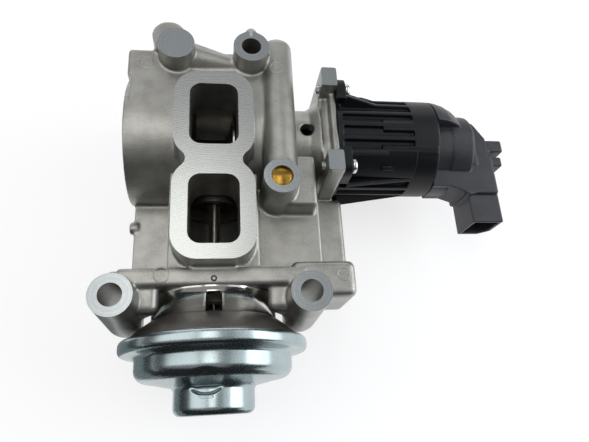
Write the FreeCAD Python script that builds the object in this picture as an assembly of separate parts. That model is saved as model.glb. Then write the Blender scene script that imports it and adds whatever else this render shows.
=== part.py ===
import FreeCAD, Part
import math
import os

# Exhaust gas recirculation valve: a die-cast housing with a motor-driven
# double-poppet valve along X and a vacuum-driven bypass valve along Y.
# Millimetres. The origin is the centre of the machined gasket face, +Z points
# out of that face, +X towards the motor, -Y towards the vacuum actuator.

V = FreeCAD.Vector
AXIS_X = V(1, 0, 0)
AXIS_Y = V(0, 1, 0)
AXIS_Z = V(0, 0, 1)

# Clearances
slide_fit = 0.05
loose_fit = 0.2
seat_gap = 0.2
soft_gap = 0.3

# Gasket flange with two ports
port_half_width = 10.4
port_half_height = 15.0
port_corner_r = 5.0
port_spacing = 43.8
flange_side_border = 6.6
flange_end_border = 6.3
flange_corner_r = 10.6
waist_half_width = 11.8
waist_corner_r = 3.5
flange_depth = 16.0

# Main valve axis and barrel
valve_y = 28.35
valve_z = -40.4
barrel_r = 30.5
barrel_left_x = -39.9
barrel_right_x = 36.0
end_chamber_r = 26.0
middle_chamber_r = 20.0
middle_half_length = 10.4
partition_wall = 5.0
right_wall = 5.0
rim_depth = 3.0
rim_step = 1.2
transfer_r = 8.5
transfer_wall = 3.6
transfer_angle = -37.0
transfer_offset = 31.5

# Rear deck behind the barrel's crest
deck_left_x = -39.2
deck_right_x = 22.5
deck_rear_y = 61.8
deck_thick = 9.0
deck_front_y = 47.0
deck_corner_r = 1.5

# Bolt bosses
bolt_hole_r = 4.5
bolt_boss_r = 8.2
lower_bolt_x = 37.56
lower_bolt_y = -56.4
lower_boss_length = 42.0
lower_boss_base_r = 9.6
upper_bolt_x = 16.9
upper_bolt_y = 58.1
upper_boss_length = 34.0
upper_hole_depth = 30.0
nub_r = 2.6
nub_reach = 8.4
lug_r = 7.6
lug_dx = -3.5
lug_dy = 6.7
lug_drop = 3.0
tie_large_r = 7.6
tie_small_r = 3.2
tie_drop = 12.0

# Coolant column, its cross drilling and plug
column_x = 29.7
column_r = 7.6
column_top_z = -5.5
column_rear_y = 69.0
column_depth_z = -46.0
column_end_r = 3.0
plug_boss_x = 28.9
plug_boss_y = -5.1
plug_boss_r = 8.1
plug_boss_z = -4.5
plug_r = 4.8
plug_recess = 0.7
plug_thick = 3.6
gallery_r = 3.4
drilling_depth = 22.0

# Bypass axis and lower chamber
bypass_z = -38.0
lower_chamber_r = 15.5
lower_wall = 3.6
lower_chamber_front_y = -38.0
bypass_seat_front_y = -2.8
bypass_seat_length = 6.0
bypass_seat_r = 16.2
bypass_seat_bore_r = 12.6

# Front wall and arms
wall_front_y = -51.0
wall_rear_y = -43.5
wall_top_z = -10.0
wall_half_width = 38.0
arm_right_x = 58.9
arm_front_y = -56.5
arm_rear_y = -41.0
arm_depth = 30.0
arm_corner_r = 3.0
arch_r = 30.6
arch_block_front_y = -61.0
arch_block_half_width = 43.0
arch_block_top_z = -12.5
face_disc_r = 33.0
housing_base_z = -66.0

# Side pads and pocket
pad_left_x = -38.0
pad_right_x = -23.8
pad_top_z = -47.0
pad_nub_r = 3.0
pad_nub_y = -13.0
pocket_left_x = 19.5
pocket_right_x = 49.0
pocket_floor_z = -30.0
shelf_right_x = 63.4
shelf_top_z = -42.0
rib_left_x = 38.5
rib_right_x = 46.5
rib_front_y = -13.0
rib_top_z = -18.0

# Neck and motor plate
neck_r = 18.6
neck_bore_r = 13.0
neck_hole_x = 44.5
neck_hole_r = 3.2
neck_flare_r = 22.5
neck_flare_length = 5.0
guide_boss_r = 8.5
guide_boss_length = 6.0
plate_left_x = 51.0
plate_thick = 7.5
plate_half_y = 28.2
plate_half_z = 30.4
tab_width = 10.8
notch_half_z = 24.0
notch_inner_half_z = 19.5
notch_rim_thick = 3.0
plate_corner_r = 1.2
register_r = 20.0
register_depth = 3.0
screw_offset = 20.85
screw_r = 2.0
screw_head_r = 3.7
screw_head_height = 3.0
screw_tip = 1.4

# Main valve
stem_r = 3.0
stem_bush_r = 6.0
stem_bush_length = 11.0
stem_seal_length = 3.0
shield_r = 10.0
shield_depth = 4.0
shield_wall = 0.9
seat_ring_r = 16.0
outer_seat_bore_r = 12.8
inner_seat_bore_r = 11.2
poppet_overlap = 1.4
poppet_rim = 1.6
poppet_cone = 3.0
poppet_hub_r = 5.0
retainer_r = 12.0
retainer_thick = 1.6
retainer_x = 56.0
clip_r = 4.6
clip_thick = 0.8
clip_groove = 0.6
spring_wire_r = 0.75
spring_mean_r = 10.6
spring_turns = 4.5

# Motor case
case_flange_half = 26.5
case_flange_thick = 5.0
case_flange_corner_r = 6.0
case_lug_width = 13.5
case_groove_start = 2.5
case_r = 25.0
case_bore_r = 21.0
case_groove_r = 22.9
case_rib_count = 22
case_rib_width = 2.4
case_rib_end_x = 96.5
case_rib_flare_r = 29.8
case_rib_flare_end_x = 80.0
gusset_spread = 26.0
case_pad_left_x = 81.0
case_pad_width = 6.0
case_tongue_width = 3.6
case_tongue_turn = 29.0
case_tongue_proud = 0.4
case_end_x = 110.0
case_edge_r = 1.5
case_rear_wall = 4.0
seal_groove_r = 21.8
seal_groove_width = 1.8
seal_groove_depth = 1.4

# Motor inner parts
bearing_plate_thick = 3.0
front_bearing_x = 64.5
front_bearing_length = 5.0
bearing_outer_r = 11.0
bearing_ring_wall = 2.0
ball_r = 1.5
ball_count = 9
yoke_wall = 1.5
yoke_end_x = 96.5
magnet_wall = 3.2
magnet_left_x = 72.0
magnet_right_x = 95.0
magnet_count = 4
magnet_gap_deg = 14.0
core_r = 15.6
core_left_x = 74.0
core_right_x = 92.0
core_slots = 7
slot_width = 4.2
slot_floor_r = 8.6
tooth_gap = 1.6
tooth_tip = 1.6
winding_overhang = 3.8
winding_end_r = 13.6
commutator_left_x = 97.2
commutator_length = 6.4
commutator_r = 6.8
segment_gap = 0.6
sleeve_r = 5.0
sleeve_left_x = 63.3
sleeve_right_x = 112.0
lead_screw_r = 3.5
lead_screw_tip_x = 60.0
lead_screw_end_x = 123.0
rear_bush_r = 7.5
brush_ring_r = 19.4
brush_ring_bore_r = 9.0
brush_width = 4.4
brush_length = 9.0
sensor_magnet_r = 4.6
sensor_magnet_length = 4.0

# Sensor cover and connector
cover_r = 17.8
cover_wall = 2.0
cover_end_x = 132.0
cover_edge_r = 2.2
cover_step_x = 120.0
cover_step = 0.5
board_thick = 1.4
board_r = 14.0
shell_open_y = 4.0
shell_drum_end_x = 119.0
web_top_z = -33.0
web_bottom_z = -50.0
bridge_right_x = 145.0
bridge_rear_y = 22.0
bridge_top_z = -33.0
bridge_bottom_z = -52.0
shroud_left_x = 129.0
shroud_right_x = 145.2
shroud_top_z = -35.2
shroud_bottom_z = -54.2
shroud_front_y = -14.8
shroud_rear_y = 4.2
shroud_wall = 1.7
shroud_floor = 4.0
shroud_corner = 5.0
prong_left_x = 143.0
prong_right_x = 153.0
prong_rear_y = 32.0
prong_front_y = 25.0
prong_thick = 12.0
pin_count = 3
pin_rows = 2
pin_pitch = 4.0
pin_side = 0.9
pin_length = 11.0

# Vacuum actuator
collar_r = 27.9
collar_wall = 4.5
collar_length = 10.0
collar_groove = 0.8
collar_groove_y = -54.0
collar_base = 2.0
collar_hole_r = 9.0
window_width = 6.6
window_depth = 7.6
window_count = 3
collar_screw_r = 1.8
collar_screw_circle_r = 17.0
collar_screw_depth = 6.0
case_sheet = 1.2
cone_rim_r = 38.4
cone_rim_y = -71.0
cone_bulge = 0.8
rim_r = 40.0
rim_half = 2.0
rim_y = -73.2
cap_r = 33.2
cap_shoulder_y = -85.8
cap_shoulder_r = 5.0
cap_dish = 2.0
small_cap_r = 17.0
small_cap_end_y = -99.2
small_cap_edge_r = 3.0
small_cap_root_r = 2.0
dent_r = 7.2
dent_x = -3.0
dent_reach = 1.6
bypass_stem_r = 2.5
guide_r = 5.5
guide_length = 11.0
scraper_r = 8.6
scraper_thick = 2.4
bypass_poppet_r = 14.2
bypass_poppet_rim = 1.5
bypass_poppet_dish = 4.5
bypass_poppet_hub_r = 4.6
plate_r = 21.0
plate_y = -66.5
diaphragm_fold = 2.0
plate_sheet = 1.4
plate_skirt = 5.0
rivet_thick = 1.4
diaphragm_thick = 1.0
actuator_spring_r = 11.6
actuator_spring_wire_r = 1.1
actuator_spring_turns = 5.5
nipple_r = 2.4
nipple_bore_r = 1.2
nipple_length = 17.0
nipple_y = -93.5
nipple_flare = 0.7

# Places worked out from the sizes above
port_y = port_spacing / 2
lobe_half_width = port_half_width + flange_side_border
lobe_half_height = port_half_height + flange_end_border
crest_z = valve_z + barrel_r
plate_face_x = plate_left_x + plate_thick
left_partition_x = -middle_half_length - partition_wall
right_partition_x = middle_half_length + partition_wall
right_chamber_end_x = barrel_right_x - right_wall
neck_floor_x = barrel_right_x + 1.0
guide_boss_end_x = neck_floor_x + guide_boss_length
collar_end_y = wall_front_y - collar_length
inner_poppet_x = middle_half_length - seat_gap
outer_poppet_x = left_partition_x - seat_gap
transfer_y = valve_y + transfer_offset * math.cos(math.radians(transfer_angle))
transfer_z = valve_z + transfer_offset * math.sin(math.radians(transfer_angle))
column_z = column_top_z - column_r
cup_top_y = plate_y - diaphragm_thick - soft_gap


def box(x0, x1, y0, y1, z0, z1):
    return Part.makeBox(x1 - x0, y1 - y0, z1 - z0, V(x0, y0, z0))


def rod_x(r, x0, x1, y=valve_y, z=valve_z):
    return Part.makeCylinder(r, x1 - x0, V(x0, y, z), AXIS_X)


def rod_y(r, y0, y1, x=0.0, z=bypass_z):
    return Part.makeCylinder(r, y1 - y0, V(x, y0, z), AXIS_Y)


def rod_z(r, z0, z1, x, y):
    return Part.makeCylinder(r, z1 - z0, V(x, y, z0), AXIS_Z)


def tube_x(r_out, r_in, x0, x1):
    return rod_x(r_out, x0, x1).cut(rod_x(r_in, x0, x1))


def tube_y(r_out, r_in, y0, y1):
    return rod_y(r_out, y0, y1).cut(rod_y(r_in, y0, y1))


def fuse_all(shapes):
    return shapes[0].multiFuse(shapes[1:]).removeSplitter()


def join_in_turn(shapes):
    """Join shapes one after another and keep the seams between their faces."""
    body = shapes[0]
    for shape in shapes[1:]:
        body = body.fuse(shape)
    return body


def cut_all(body, tools):
    for tool in tools:
        body = body.cut(tool)
    return body


def edges_along(shape, axis, test):
    """Straight edges that run along an axis and whose middle passes the test."""
    picked = []
    for edge in shape.Edges:
        if edge.Curve.TypeId != "Part::GeomLine":
            continue
        run = edge.Vertexes[1].Point - edge.Vertexes[0].Point
        if abs(abs(run.normalize().dot(axis)) - 1) < 1e-6 and test(edge.CenterOfMass):
            picked.append(edge)
    return picked


def rounded_box(x0, x1, y0, y1, z0, z1, r, axis):
    """A box with its four edges along one axis rounded."""
    block = box(x0, x1, y0, y1, z0, z1)
    return block.makeFillet(r, edges_along(block, axis, lambda p: True))


def soft_box(x0, x1, y0, y1, z0, z1, r):
    """A cast block: upright edges and the edges of its top are rounded."""
    block = box(x0, x1, y0, y1, z0, z1)
    upright = edges_along(block, AXIS_Z, lambda p: True)
    across = edges_along(block, AXIS_X, lambda p: p.z > z1 - 1e-6)
    along = edges_along(block, AXIS_Y, lambda p: p.z > z1 - 1e-6)
    return block.makeFillet(r, upright + across + along)


def revolve_x(points):
    """Turn an outline of (x, radius) points about the main valve axis."""
    wire = Part.makePolygon([V(x, valve_y + r, valve_z) for x, r in points + points[:1]])
    return Part.Face(wire).revolve(V(0, valve_y, valve_z), AXIS_X, 360)


def revolve_y(points):
    """Turn an outline of (y, radius) points about the bypass axis."""
    wire = Part.makePolygon([V(r, y, bypass_z) for y, r in points + points[:1]])
    return Part.Face(wire).revolve(V(0, 0, bypass_z), AXIS_Y, 360)


def pair_y(shape):
    """The shape and its mirror image across the plane X = 0."""
    return [shape, shape.mirror(V(0, 0, 0), AXIS_X)]


def coil(wire_r, mean_r, length, turns):
    """A compression spring along +Z from the origin, as a swept round wire."""
    pitch = (length - 2 * wire_r) / turns
    helix = Part.makeHelix(pitch, pitch * turns, mean_r)
    helix.translate(V(0, 0, wire_r))
    section = Part.Wire([Part.makeCircle(wire_r, V(mean_r, 0, wire_r), AXIS_Y)])
    return Part.Wire(helix.Edges).makePipeShell([section], True, True)


def port_prism(centre_y, z0, z1):
    hw = port_half_width
    hh = port_half_height
    return rounded_box(-hw, hw, centre_y - hh, centre_y + hh, z0, z1, port_corner_r, AXIS_Z)


def flange_prism(z0, z1):
    """The figure-eight outline of the gasket flange, with a concave waist."""
    hw = lobe_half_width
    hh = lobe_half_height
    lobes = []
    for cy in (-port_y, port_y):
        lobes.append(rounded_box(-hw, hw, cy - hh, cy + hh, z0, z1, flange_corner_r, AXIS_Z))
    waist = box(-waist_half_width, waist_half_width, -port_y / 2, port_y / 2, z0, z1)
    body = fuse_all(lobes + [waist])
    corners = edges_along(body, AXIS_Z, lambda p: abs(abs(p.x) - waist_half_width) < 1e-3)
    return body.makeFillet(waist_corner_r, corners)


def barrel_body():
    """Main barrel, rear deck tangent to its crest, and the transfer duct's bulge."""
    barrel = rod_x(barrel_r, barrel_left_x, barrel_right_x)
    deck = soft_box(deck_left_x, deck_right_x, deck_front_y, deck_rear_y,
                    crest_z - deck_thick, crest_z, deck_corner_r)
    bridge = box(deck_left_x + 1.6, deck_right_x, valve_y, deck_rear_y - 4,
                 crest_z - deck_thick, crest_z)
    rear = box(deck_left_x + 3, barrel_right_x - 8, valve_y, valve_y + barrel_r,
               valve_z, crest_z - deck_thick / 2)
    bulge = rod_x(transfer_r + transfer_wall, left_partition_x - 16, right_chamber_end_x - 1,
                  transfer_y, transfer_z)
    return [barrel, deck, bridge, rear, bulge]


def lower_body():
    """The duct below the lower port: flat sides above, half round underneath."""
    half = lower_chamber_r + lower_wall
    walls = box(-half, half, wall_rear_y, 0, bypass_z, -flange_depth + 2)
    base = rod_y(half, wall_rear_y, 0)
    return [walls, base]


def front_wall():
    wall = soft_box(-wall_half_width, wall_half_width, wall_front_y, wall_rear_y,
                    bypass_z, wall_top_z, 1.5)
    disc = rod_y(face_disc_r, wall_front_y, wall_rear_y)
    disc = disc.common(box(-face_disc_r, face_disc_r, wall_front_y, wall_rear_y,
                           housing_base_z, bypass_z + 1))
    arm = soft_box(lower_bolt_x - 6, arm_right_x, arm_front_y, arm_rear_y,
                   wall_top_z - arm_depth, wall_top_z - 0.6, arm_corner_r)
    return [wall, disc, arm]


def lower_bosses():
    """Two bolt bosses with draft, tied to the wall by a block with an arch cut in it."""
    boss = Part.makeCone(lower_boss_base_r, bolt_boss_r, lower_boss_length,
                         V(lower_bolt_x, lower_bolt_y, -lower_boss_length), AXIS_Z)
    block = soft_box(collar_r - 6, arch_block_half_width, arch_block_front_y, wall_rear_y,
                     -lower_boss_length, arch_block_top_z, 3.0)
    arch = rod_y(arch_r, arch_block_front_y - 9, wall_front_y)
    return pair_y(boss.fuse(block).cut(arch))


def upper_bosses():
    drilled = rod_z(bolt_boss_r, -upper_boss_length, 0, upper_bolt_x, upper_bolt_y)
    blind = rod_z(bolt_boss_r, -upper_boss_length, 0, -upper_bolt_x, upper_bolt_y)
    nub = rod_z(nub_r, -upper_boss_length, -0.6, upper_bolt_x, upper_bolt_y + nub_reach)
    lug_x = -upper_bolt_x + lug_dx
    lug_y = upper_bolt_y + lug_dy
    lug = rod_z(lug_r, -upper_boss_length, -lug_drop, lug_x, lug_y)
    run = V(upper_bolt_x * 1.5, -4, 0)
    tie = Part.makeCone(tie_large_r, tie_small_r, run.Length,
                        V(-upper_bolt_x + 5, upper_bolt_y + 1, -tie_drop), run)
    skirt = box(-upper_bolt_x, upper_bolt_x, deck_front_y, upper_bolt_y, -upper_boss_length,
                -tie_drop - 1)
    return [drilled, blind, nub, lug, tie, skirt]


def coolant_column():
    """Half-round column over the coolant gallery, and the boss of its plug."""
    x0 = column_x - column_r
    x1 = column_x + column_r
    y0 = plug_boss_y
    outline = Part.Wire([
        Part.makeLine(V(x0, y0, column_depth_z), V(x0, y0, column_z)),
        Part.Arc(V(x0, y0, column_z), V(column_x, y0, column_top_z), V(x1, y0, column_z)).toShape(),
        Part.makeLine(V(x1, y0, column_z), V(x1, y0, column_depth_z)),
        Part.makeLine(V(x1, y0, column_depth_z), V(x0, y0, column_depth_z))])
    column = Part.Face(outline).extrude(V(0, column_rear_y - y0, 0))
    rear = [e for e in column.Edges
            if e.BoundBox.YMin > column_rear_y - 1e-6 and e.CenterOfMass.z > column_depth_z + 1]
    column = column.makeFillet(column_end_r, rear)
    boss = rod_z(plug_boss_r, pocket_floor_z - 4, plug_boss_z, plug_boss_x, plug_boss_y)
    return [column, boss]


def side_pads():
    pad = box(pad_left_x, pad_right_x + 6, wall_rear_y, 4, housing_base_z, pad_top_z)
    nub = rod_x(pad_nub_r, pad_left_x - 2.2, pad_left_x + 2, pad_nub_y, pad_top_z - 2)
    pocket = box(pocket_left_x - 4, pocket_right_x, arm_rear_y, 6, housing_base_z, pocket_floor_z)
    shelf = soft_box(pocket_right_x - 8, shelf_right_x, arm_rear_y - 6, 0.2, housing_base_z,
                     shelf_top_z, 2.0)
    rib = soft_box(rib_left_x - 6, rib_right_x, rib_front_y, 12, pocket_floor_z - 8, rib_top_z, 1.6)
    return [pad, nub, pocket, shelf, rib]


def neck_and_plate():
    neck = rod_x(neck_r, barrel_right_x - 2, plate_face_x - 1)
    flare = Part.makeCone(neck_r, neck_flare_r, neck_flare_length,
                          V(plate_left_x - neck_flare_length, valve_y, valve_z), AXIS_X)
    plate = rounded_box(plate_left_x, plate_face_x, valve_y - plate_half_y,
                        valve_y + plate_half_y, valve_z - plate_half_z,
                        valve_z + plate_half_z, plate_corner_r, AXIS_X)
    inner = plate_half_y - tab_width
    for side in (-1, 1):
        for x0, x1, half in ((plate_left_x, plate_face_x - notch_rim_thick, notch_inner_half_z),
                             (plate_face_x - notch_rim_thick, plate_face_x, notch_half_z)):
            z_low = min(side * half, side * plate_half_z) + valve_z
            z_high = max(side * half, side * plate_half_z) + valve_z
            plate = plate.cut(box(x0, x1, valve_y - inner, valve_y + inner, z_low, z_high))
    return [neck, flare, plate]


def gas_ways():
    """Ports, chambers and ducts that the gas flows through."""
    ways = [port_prism(port_y, valve_z, 1), port_prism(-port_y, bypass_z, 1)]
    ways.append(rod_x(middle_chamber_r, -middle_half_length, middle_half_length))
    ways.append(rod_x(end_chamber_r, barrel_left_x - 1, left_partition_x))
    ways.append(rod_x(end_chamber_r, right_partition_x, right_chamber_end_x))
    ways.append(rod_x(end_chamber_r + rim_step, barrel_left_x - 1, barrel_left_x + rim_depth))
    ways.append(rod_x(seat_ring_r, left_partition_x, -middle_half_length))
    ways.append(rod_x(seat_ring_r, middle_half_length, right_partition_x))
    ways.append(rod_x(transfer_r, left_partition_x - 12, right_chamber_end_x - 5,
                      transfer_y, transfer_z))
    ways.append(rod_y(lower_chamber_r, lower_chamber_front_y, bypass_seat_front_y))
    ways.append(rod_y(bypass_seat_r, bypass_seat_front_y,
                      bypass_seat_front_y + bypass_seat_length))
    ways.append(rod_y(bypass_seat_bore_r, 0, valve_y - 6))
    return ways


def machined_holes():
    holes = [rod_x(stem_bush_r, right_chamber_end_x - 3, guide_boss_end_x)]
    neck_bore = rod_x(neck_bore_r, neck_floor_x, plate_face_x + 1)
    holes.append(neck_bore.cut(rod_x(guide_boss_r, neck_floor_x, guide_boss_end_x)))
    holes.append(rod_x(register_r, plate_face_x - register_depth, plate_face_x + 1))
    holes.append(rod_z(neck_hole_r, valve_z + neck_bore_r - 2, 0, neck_hole_x, valve_y))
    for dy in (-screw_offset, screw_offset):
        for dz in (-screw_offset, screw_offset):
            holes.append(rod_x(screw_r, plate_left_x - 4, plate_face_x + 1,
                               valve_y + dy, valve_z + dz))
    for x in (-lower_bolt_x, lower_bolt_x):
        holes.append(rod_z(bolt_hole_r, -lower_boss_length - 1, 1, x, lower_bolt_y))
    holes.append(rod_z(bolt_hole_r, -upper_hole_depth, 1, upper_bolt_x, upper_bolt_y))
    holes.append(rod_z(plug_r, plug_boss_z - drilling_depth, 1, plug_boss_x, plug_boss_y))
    holes.append(rod_y(gallery_r, plug_boss_y, column_rear_y - 6, column_x, column_z))
    holes.append(rod_y(guide_r, wall_front_y - 1, lower_chamber_front_y + 1))
    return holes + collar_screw_holes(wall_front_y, wall_front_y + collar_screw_depth)


def collar_screw_places():
    for k in range(window_count):
        turn = math.radians(90 + (k + 0.5) * 360 / window_count)
        yield (collar_screw_circle_r * math.cos(turn),
               bypass_z + collar_screw_circle_r * math.sin(turn))


def collar_screw_holes(y0, y1):
    return [rod_y(collar_screw_r, y0, y1, x, z) for x, z in collar_screw_places()]


def valve_housing():
    """The casting: outer forms joined, then the gas ways and machined holes."""
    forms = barrel_body() + coolant_column() + upper_bosses()
    forms += [flange_prism(-flange_depth, 0)]
    forms += neck_and_plate() + lower_body() + side_pads() + front_wall() + lower_bosses()
    body = join_in_turn(forms)
    return cut_all(body, gas_ways() + machined_holes())


def brass_plug():
    top = plug_boss_z - plug_recess
    plug = rod_z(plug_r, top - plug_thick, top, plug_boss_x, plug_boss_y)
    return plug.makeChamfer(0.3, [plug.Edges[0], plug.Edges[2]])


def seat_ring(x0, bore_r):
    """A pressed-in seat: its left face, towards the poppet, has a coned mouth."""
    x1 = x0 + partition_wall
    return revolve_x([(x0, bore_r + 0.8), (x0, seat_ring_r), (x1, seat_ring_r), (x1, bore_r),
                      (x0 + 0.8, bore_r)])


def poppet(face_x, r):
    """A poppet whose flat face is on its right and whose cone runs left to the hub."""
    rim_x = face_x - poppet_rim
    hub_x = rim_x - poppet_cone
    return revolve_x([(face_x, stem_r), (face_x, r - 0.6), (face_x - 0.6, r), (rim_x, r),
                      (hub_x + 0.8, poppet_hub_r + 1.2), (hub_x, poppet_hub_r), (hub_x, stem_r)])


def outer_poppet():
    return poppet(outer_poppet_x, outer_seat_bore_r + poppet_overlap)


def inner_poppet():
    return poppet(inner_poppet_x, inner_seat_bore_r + poppet_overlap)


def main_valve_stem():
    """The stem runs from the outer poppet to the motor's lead screw."""
    tail_x = outer_poppet_x - poppet_rim - poppet_cone - 1.6
    stem = rod_x(stem_r, tail_x, lead_screw_tip_x)
    head = rod_x(poppet_hub_r - 0.8, tail_x, tail_x + 1.6)
    clip_x = retainer_x + retainer_thick
    groove = tube_x(stem_r + 1, stem_r - clip_groove, clip_x, clip_x + clip_thick)
    return stem.fuse(head).removeSplitter().cut(groove)


def spring_retainer():
    """A dished washer that the return spring pushes against."""
    lip_x = retainer_x - 1.4
    return revolve_x([(lip_x, retainer_r), (lip_x, retainer_r - 1.0),
                      (retainer_x, retainer_r - 1.0), (retainer_x, stem_r),
                      (retainer_x + retainer_thick, stem_r),
                      (retainer_x + retainer_thick, retainer_r)])


def retainer_clip():
    x0 = retainer_x + retainer_thick
    ring = tube_x(clip_r, stem_r - clip_groove, x0, x0 + clip_thick)
    mouth = box(x0, x0 + clip_thick, valve_y - 1.2, valve_y + 1.2, valve_z, valve_z + clip_r + 1)
    return ring.cut(mouth)


def along_x(shape, x0):
    """Lay a shape made along +Z down along +X, starting at x0 on the valve axis."""
    shape.rotate(V(0, 0, 0), AXIS_Y, 90)
    shape.translate(V(x0, valve_y, valve_z))
    return shape


def return_spring():
    length = retainer_x - neck_floor_x - 0.1
    return along_x(coil(spring_wire_r, spring_mean_r, length, spring_turns), neck_floor_x + 0.05)


def stem_guide_bush():
    x0 = right_chamber_end_x - 2
    return tube_x(stem_bush_r, stem_r + slide_fit, x0, x0 + stem_bush_length)


def stem_seal():
    x1 = guide_boss_end_x
    ring = tube_x(stem_bush_r, stem_r + loose_fit, x1 - stem_seal_length, x1)
    lip = tube_x(stem_bush_r - 1.0, stem_r + 1.2, x1 - 1.2, x1 + 1)
    return ring.cut(lip)


def stem_shield():
    """A thin cup that keeps soot off the guide bush."""
    x1 = right_chamber_end_x
    x0 = x1 - shield_depth
    return revolve_x([(x0, stem_r + 1.0), (x0, shield_r), (x1, shield_r),
                      (x1, shield_r - shield_wall), (x0 + shield_wall, shield_r - shield_wall),
                      (x0 + shield_wall, stem_r + 1.0)])


def case_grooves():
    """Long grooves between the ribs of the motor case."""
    x0 = plate_face_x + case_groove_start
    ring = tube_x(case_r + 1, case_groove_r, x0, case_rib_end_x)
    ribs = []
    for k in range(case_rib_count):
        rib = box(x0, case_rib_end_x, -case_rib_width / 2, case_rib_width / 2, 0, case_r + 2)
        rib.rotate(V(0, 0, 0), AXIS_X, 360 * k / case_rib_count)
        rib.translate(V(0, valve_y, valve_z))
        ribs.append(rib)
    return ring.cut(Part.makeCompound(ribs))


def gusset(end_x):
    """A wedge from the flange down to the round body, on the +Z side of the origin."""
    x0 = plate_face_x + case_flange_thick - 0.5
    half = case_rib_width / 2
    low = case_groove_r - 1
    corners = [V(x0, -half, low), V(x0, -half, case_rib_flare_r), V(end_x, -half, case_r),
               V(end_x, -half, low)]
    return Part.Face(Part.makePolygon(corners + corners[:1])).extrude(V(0, case_rib_width, 0))


def case_gussets():
    """Ribs near the flange's corners rise as wedges, longer ones on the -Y side."""
    reach = case_flange_half + 4
    limit = box(plate_face_x, case_end_x, valve_y - reach, valve_y + reach,
                valve_z - reach, valve_z + reach)
    wedges = []
    for k in range(case_rib_count):
        turn = 360 * k / case_rib_count
        if abs((turn % 90) - 45) > gusset_spread:
            continue
        wedge = gusset(case_rib_end_x if turn < 180 else case_rib_flare_end_x)
        wedge.rotate(V(0, 0, 0), AXIS_X, turn)
        wedge.translate(V(0, valve_y, valve_z))
        wedges.append(wedge.common(limit))
    return wedges


def case_pad_and_tongue():
    """A low pad over the ribs, and a flat tongue that runs on to the case's end."""
    pad_y = valve_y - case_pad_width / 2
    pad = box(case_pad_left_x, case_rib_end_x + 1, pad_y, pad_y + case_pad_width,
              valve_z + case_groove_r - 1, valve_z + case_r - 0.5)
    half = case_tongue_width / 2
    tongue = box(case_rib_flare_end_x, case_end_x - case_edge_r, -half, half,
                 case_groove_r - 1, case_r + case_tongue_proud)
    tongue.rotate(V(0, 0, 0), AXIS_X, case_tongue_turn)
    tongue.translate(V(0, valve_y, valve_z))
    return [pad, tongue]


def screw_places():
    for dy in (-screw_offset, screw_offset):
        for dz in (-screw_offset, screw_offset):
            yield valve_y + dy, valve_z + dz


def motor_case():
    """Ribbed plastic case: four screw lugs, round body and rear wall."""
    x0 = plate_face_x
    x1 = x0 + case_flange_thick
    h = case_flange_half
    lugs = rounded_box(x0, x1, valve_y - h, valve_y + h, valve_z - h, valve_z + h,
                       case_flange_corner_r, AXIS_X)
    gap = h - case_lug_width
    lugs = lugs.cut(box(x0, x1, valve_y - gap, valve_y + gap, valve_z - h, valve_z + h))
    lugs = lugs.cut(box(x0, x1, valve_y - h, valve_y + h, valve_z - gap, valve_z + gap))
    body = rod_x(case_r, x0, case_end_x)
    body = body.makeFillet(case_edge_r, [e for e in body.Edges if e.BoundBox.XMin > x0 + 1])
    body = fuse_all([body.cut(case_grooves()), lugs] + case_gussets() + case_pad_and_tongue())
    rear_x = case_end_x - case_rear_wall
    tools = [rod_x(case_bore_r, x0 - 1, rear_x)]
    tools.append(rod_x(rear_bush_r, rear_x - 1, case_end_x + 1))
    tools.append(tube_x(seal_groove_r + seal_groove_width, seal_groove_r, x0 - 1,
                        x0 + seal_groove_depth))
    for y, z in screw_places():
        tools.append(rod_x(screw_r, x0 - 1, x0 + case_flange_thick + 1, y, z))
        tools.append(rod_x(screw_head_r + 0.6, x0 + case_flange_thick, case_rib_flare_end_x, y, z))
    return cut_all(body, tools)


def case_seal_ring():
    x0 = plate_face_x
    return tube_x(seal_groove_r + seal_groove_width, seal_groove_r, x0, x0 + seal_groove_depth)


def motor_screws():
    x1 = plate_face_x + case_flange_thick
    screws = []
    for y, z in screw_places():
        shank = rod_x(screw_r, plate_left_x - screw_tip, x1, y, z)
        head = rod_x(screw_head_r, x1, x1 + screw_head_height, y, z)
        head = head.makeChamfer(0.8, [head.Edges[0]])
        slot = box(x1 + screw_head_height - 1.2, x1 + screw_head_height + 1, y - 0.5, y + 0.5,
                   z - 2.2, z + 2.2)
        cross = box(x1 + screw_head_height - 1.2, x1 + screw_head_height + 1, y - 2.2, y + 2.2,
                    z - 0.5, z + 0.5)
        screws.append(shank.fuse(head).removeSplitter().cut(slot).cut(cross))
    return Part.makeCompound(screws)


def bearing_plate():
    """Front plate of the motor: register ring, web and the bearing's hub."""
    x0 = plate_face_x
    web_x = x0 + 1.0
    web_end = web_x + bearing_plate_thick
    hub_end = front_bearing_x + front_bearing_length
    hub_r = bearing_outer_r + 2.4
    return revolve_x([(x0 - register_depth + loose_fit, neck_bore_r + 1.2),
                      (x0 - register_depth + loose_fit, register_r - slide_fit),
                      (x0, register_r - slide_fit), (x0, case_bore_r), (web_end, case_bore_r),
                      (web_end, hub_r), (hub_end, hub_r), (hub_end, bearing_outer_r),
                      (front_bearing_x, bearing_outer_r), (front_bearing_x, 8.6),
                      (web_end, 8.6), (web_end, lead_screw_r + slide_fit),
                      (web_x, lead_screw_r + slide_fit), (web_x, neck_bore_r + 1.2)])


def ball_path_r():
    return (bearing_outer_r - bearing_ring_wall + sleeve_r + bearing_ring_wall) / 2


def race_groove():
    centre = V(front_bearing_x + front_bearing_length / 2, valve_y, valve_z)
    return Part.makeTorus(ball_path_r(), ball_r + 0.1, centre, AXIS_X)


def front_bearing_outer():
    x0 = front_bearing_x
    ring = tube_x(bearing_outer_r, bearing_outer_r - bearing_ring_wall, x0,
                  x0 + front_bearing_length)
    return ring.cut(race_groove())


def front_bearing_inner():
    x0 = front_bearing_x
    ring = tube_x(sleeve_r + bearing_ring_wall, sleeve_r, x0, x0 + front_bearing_length)
    return ring.cut(race_groove())


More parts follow.
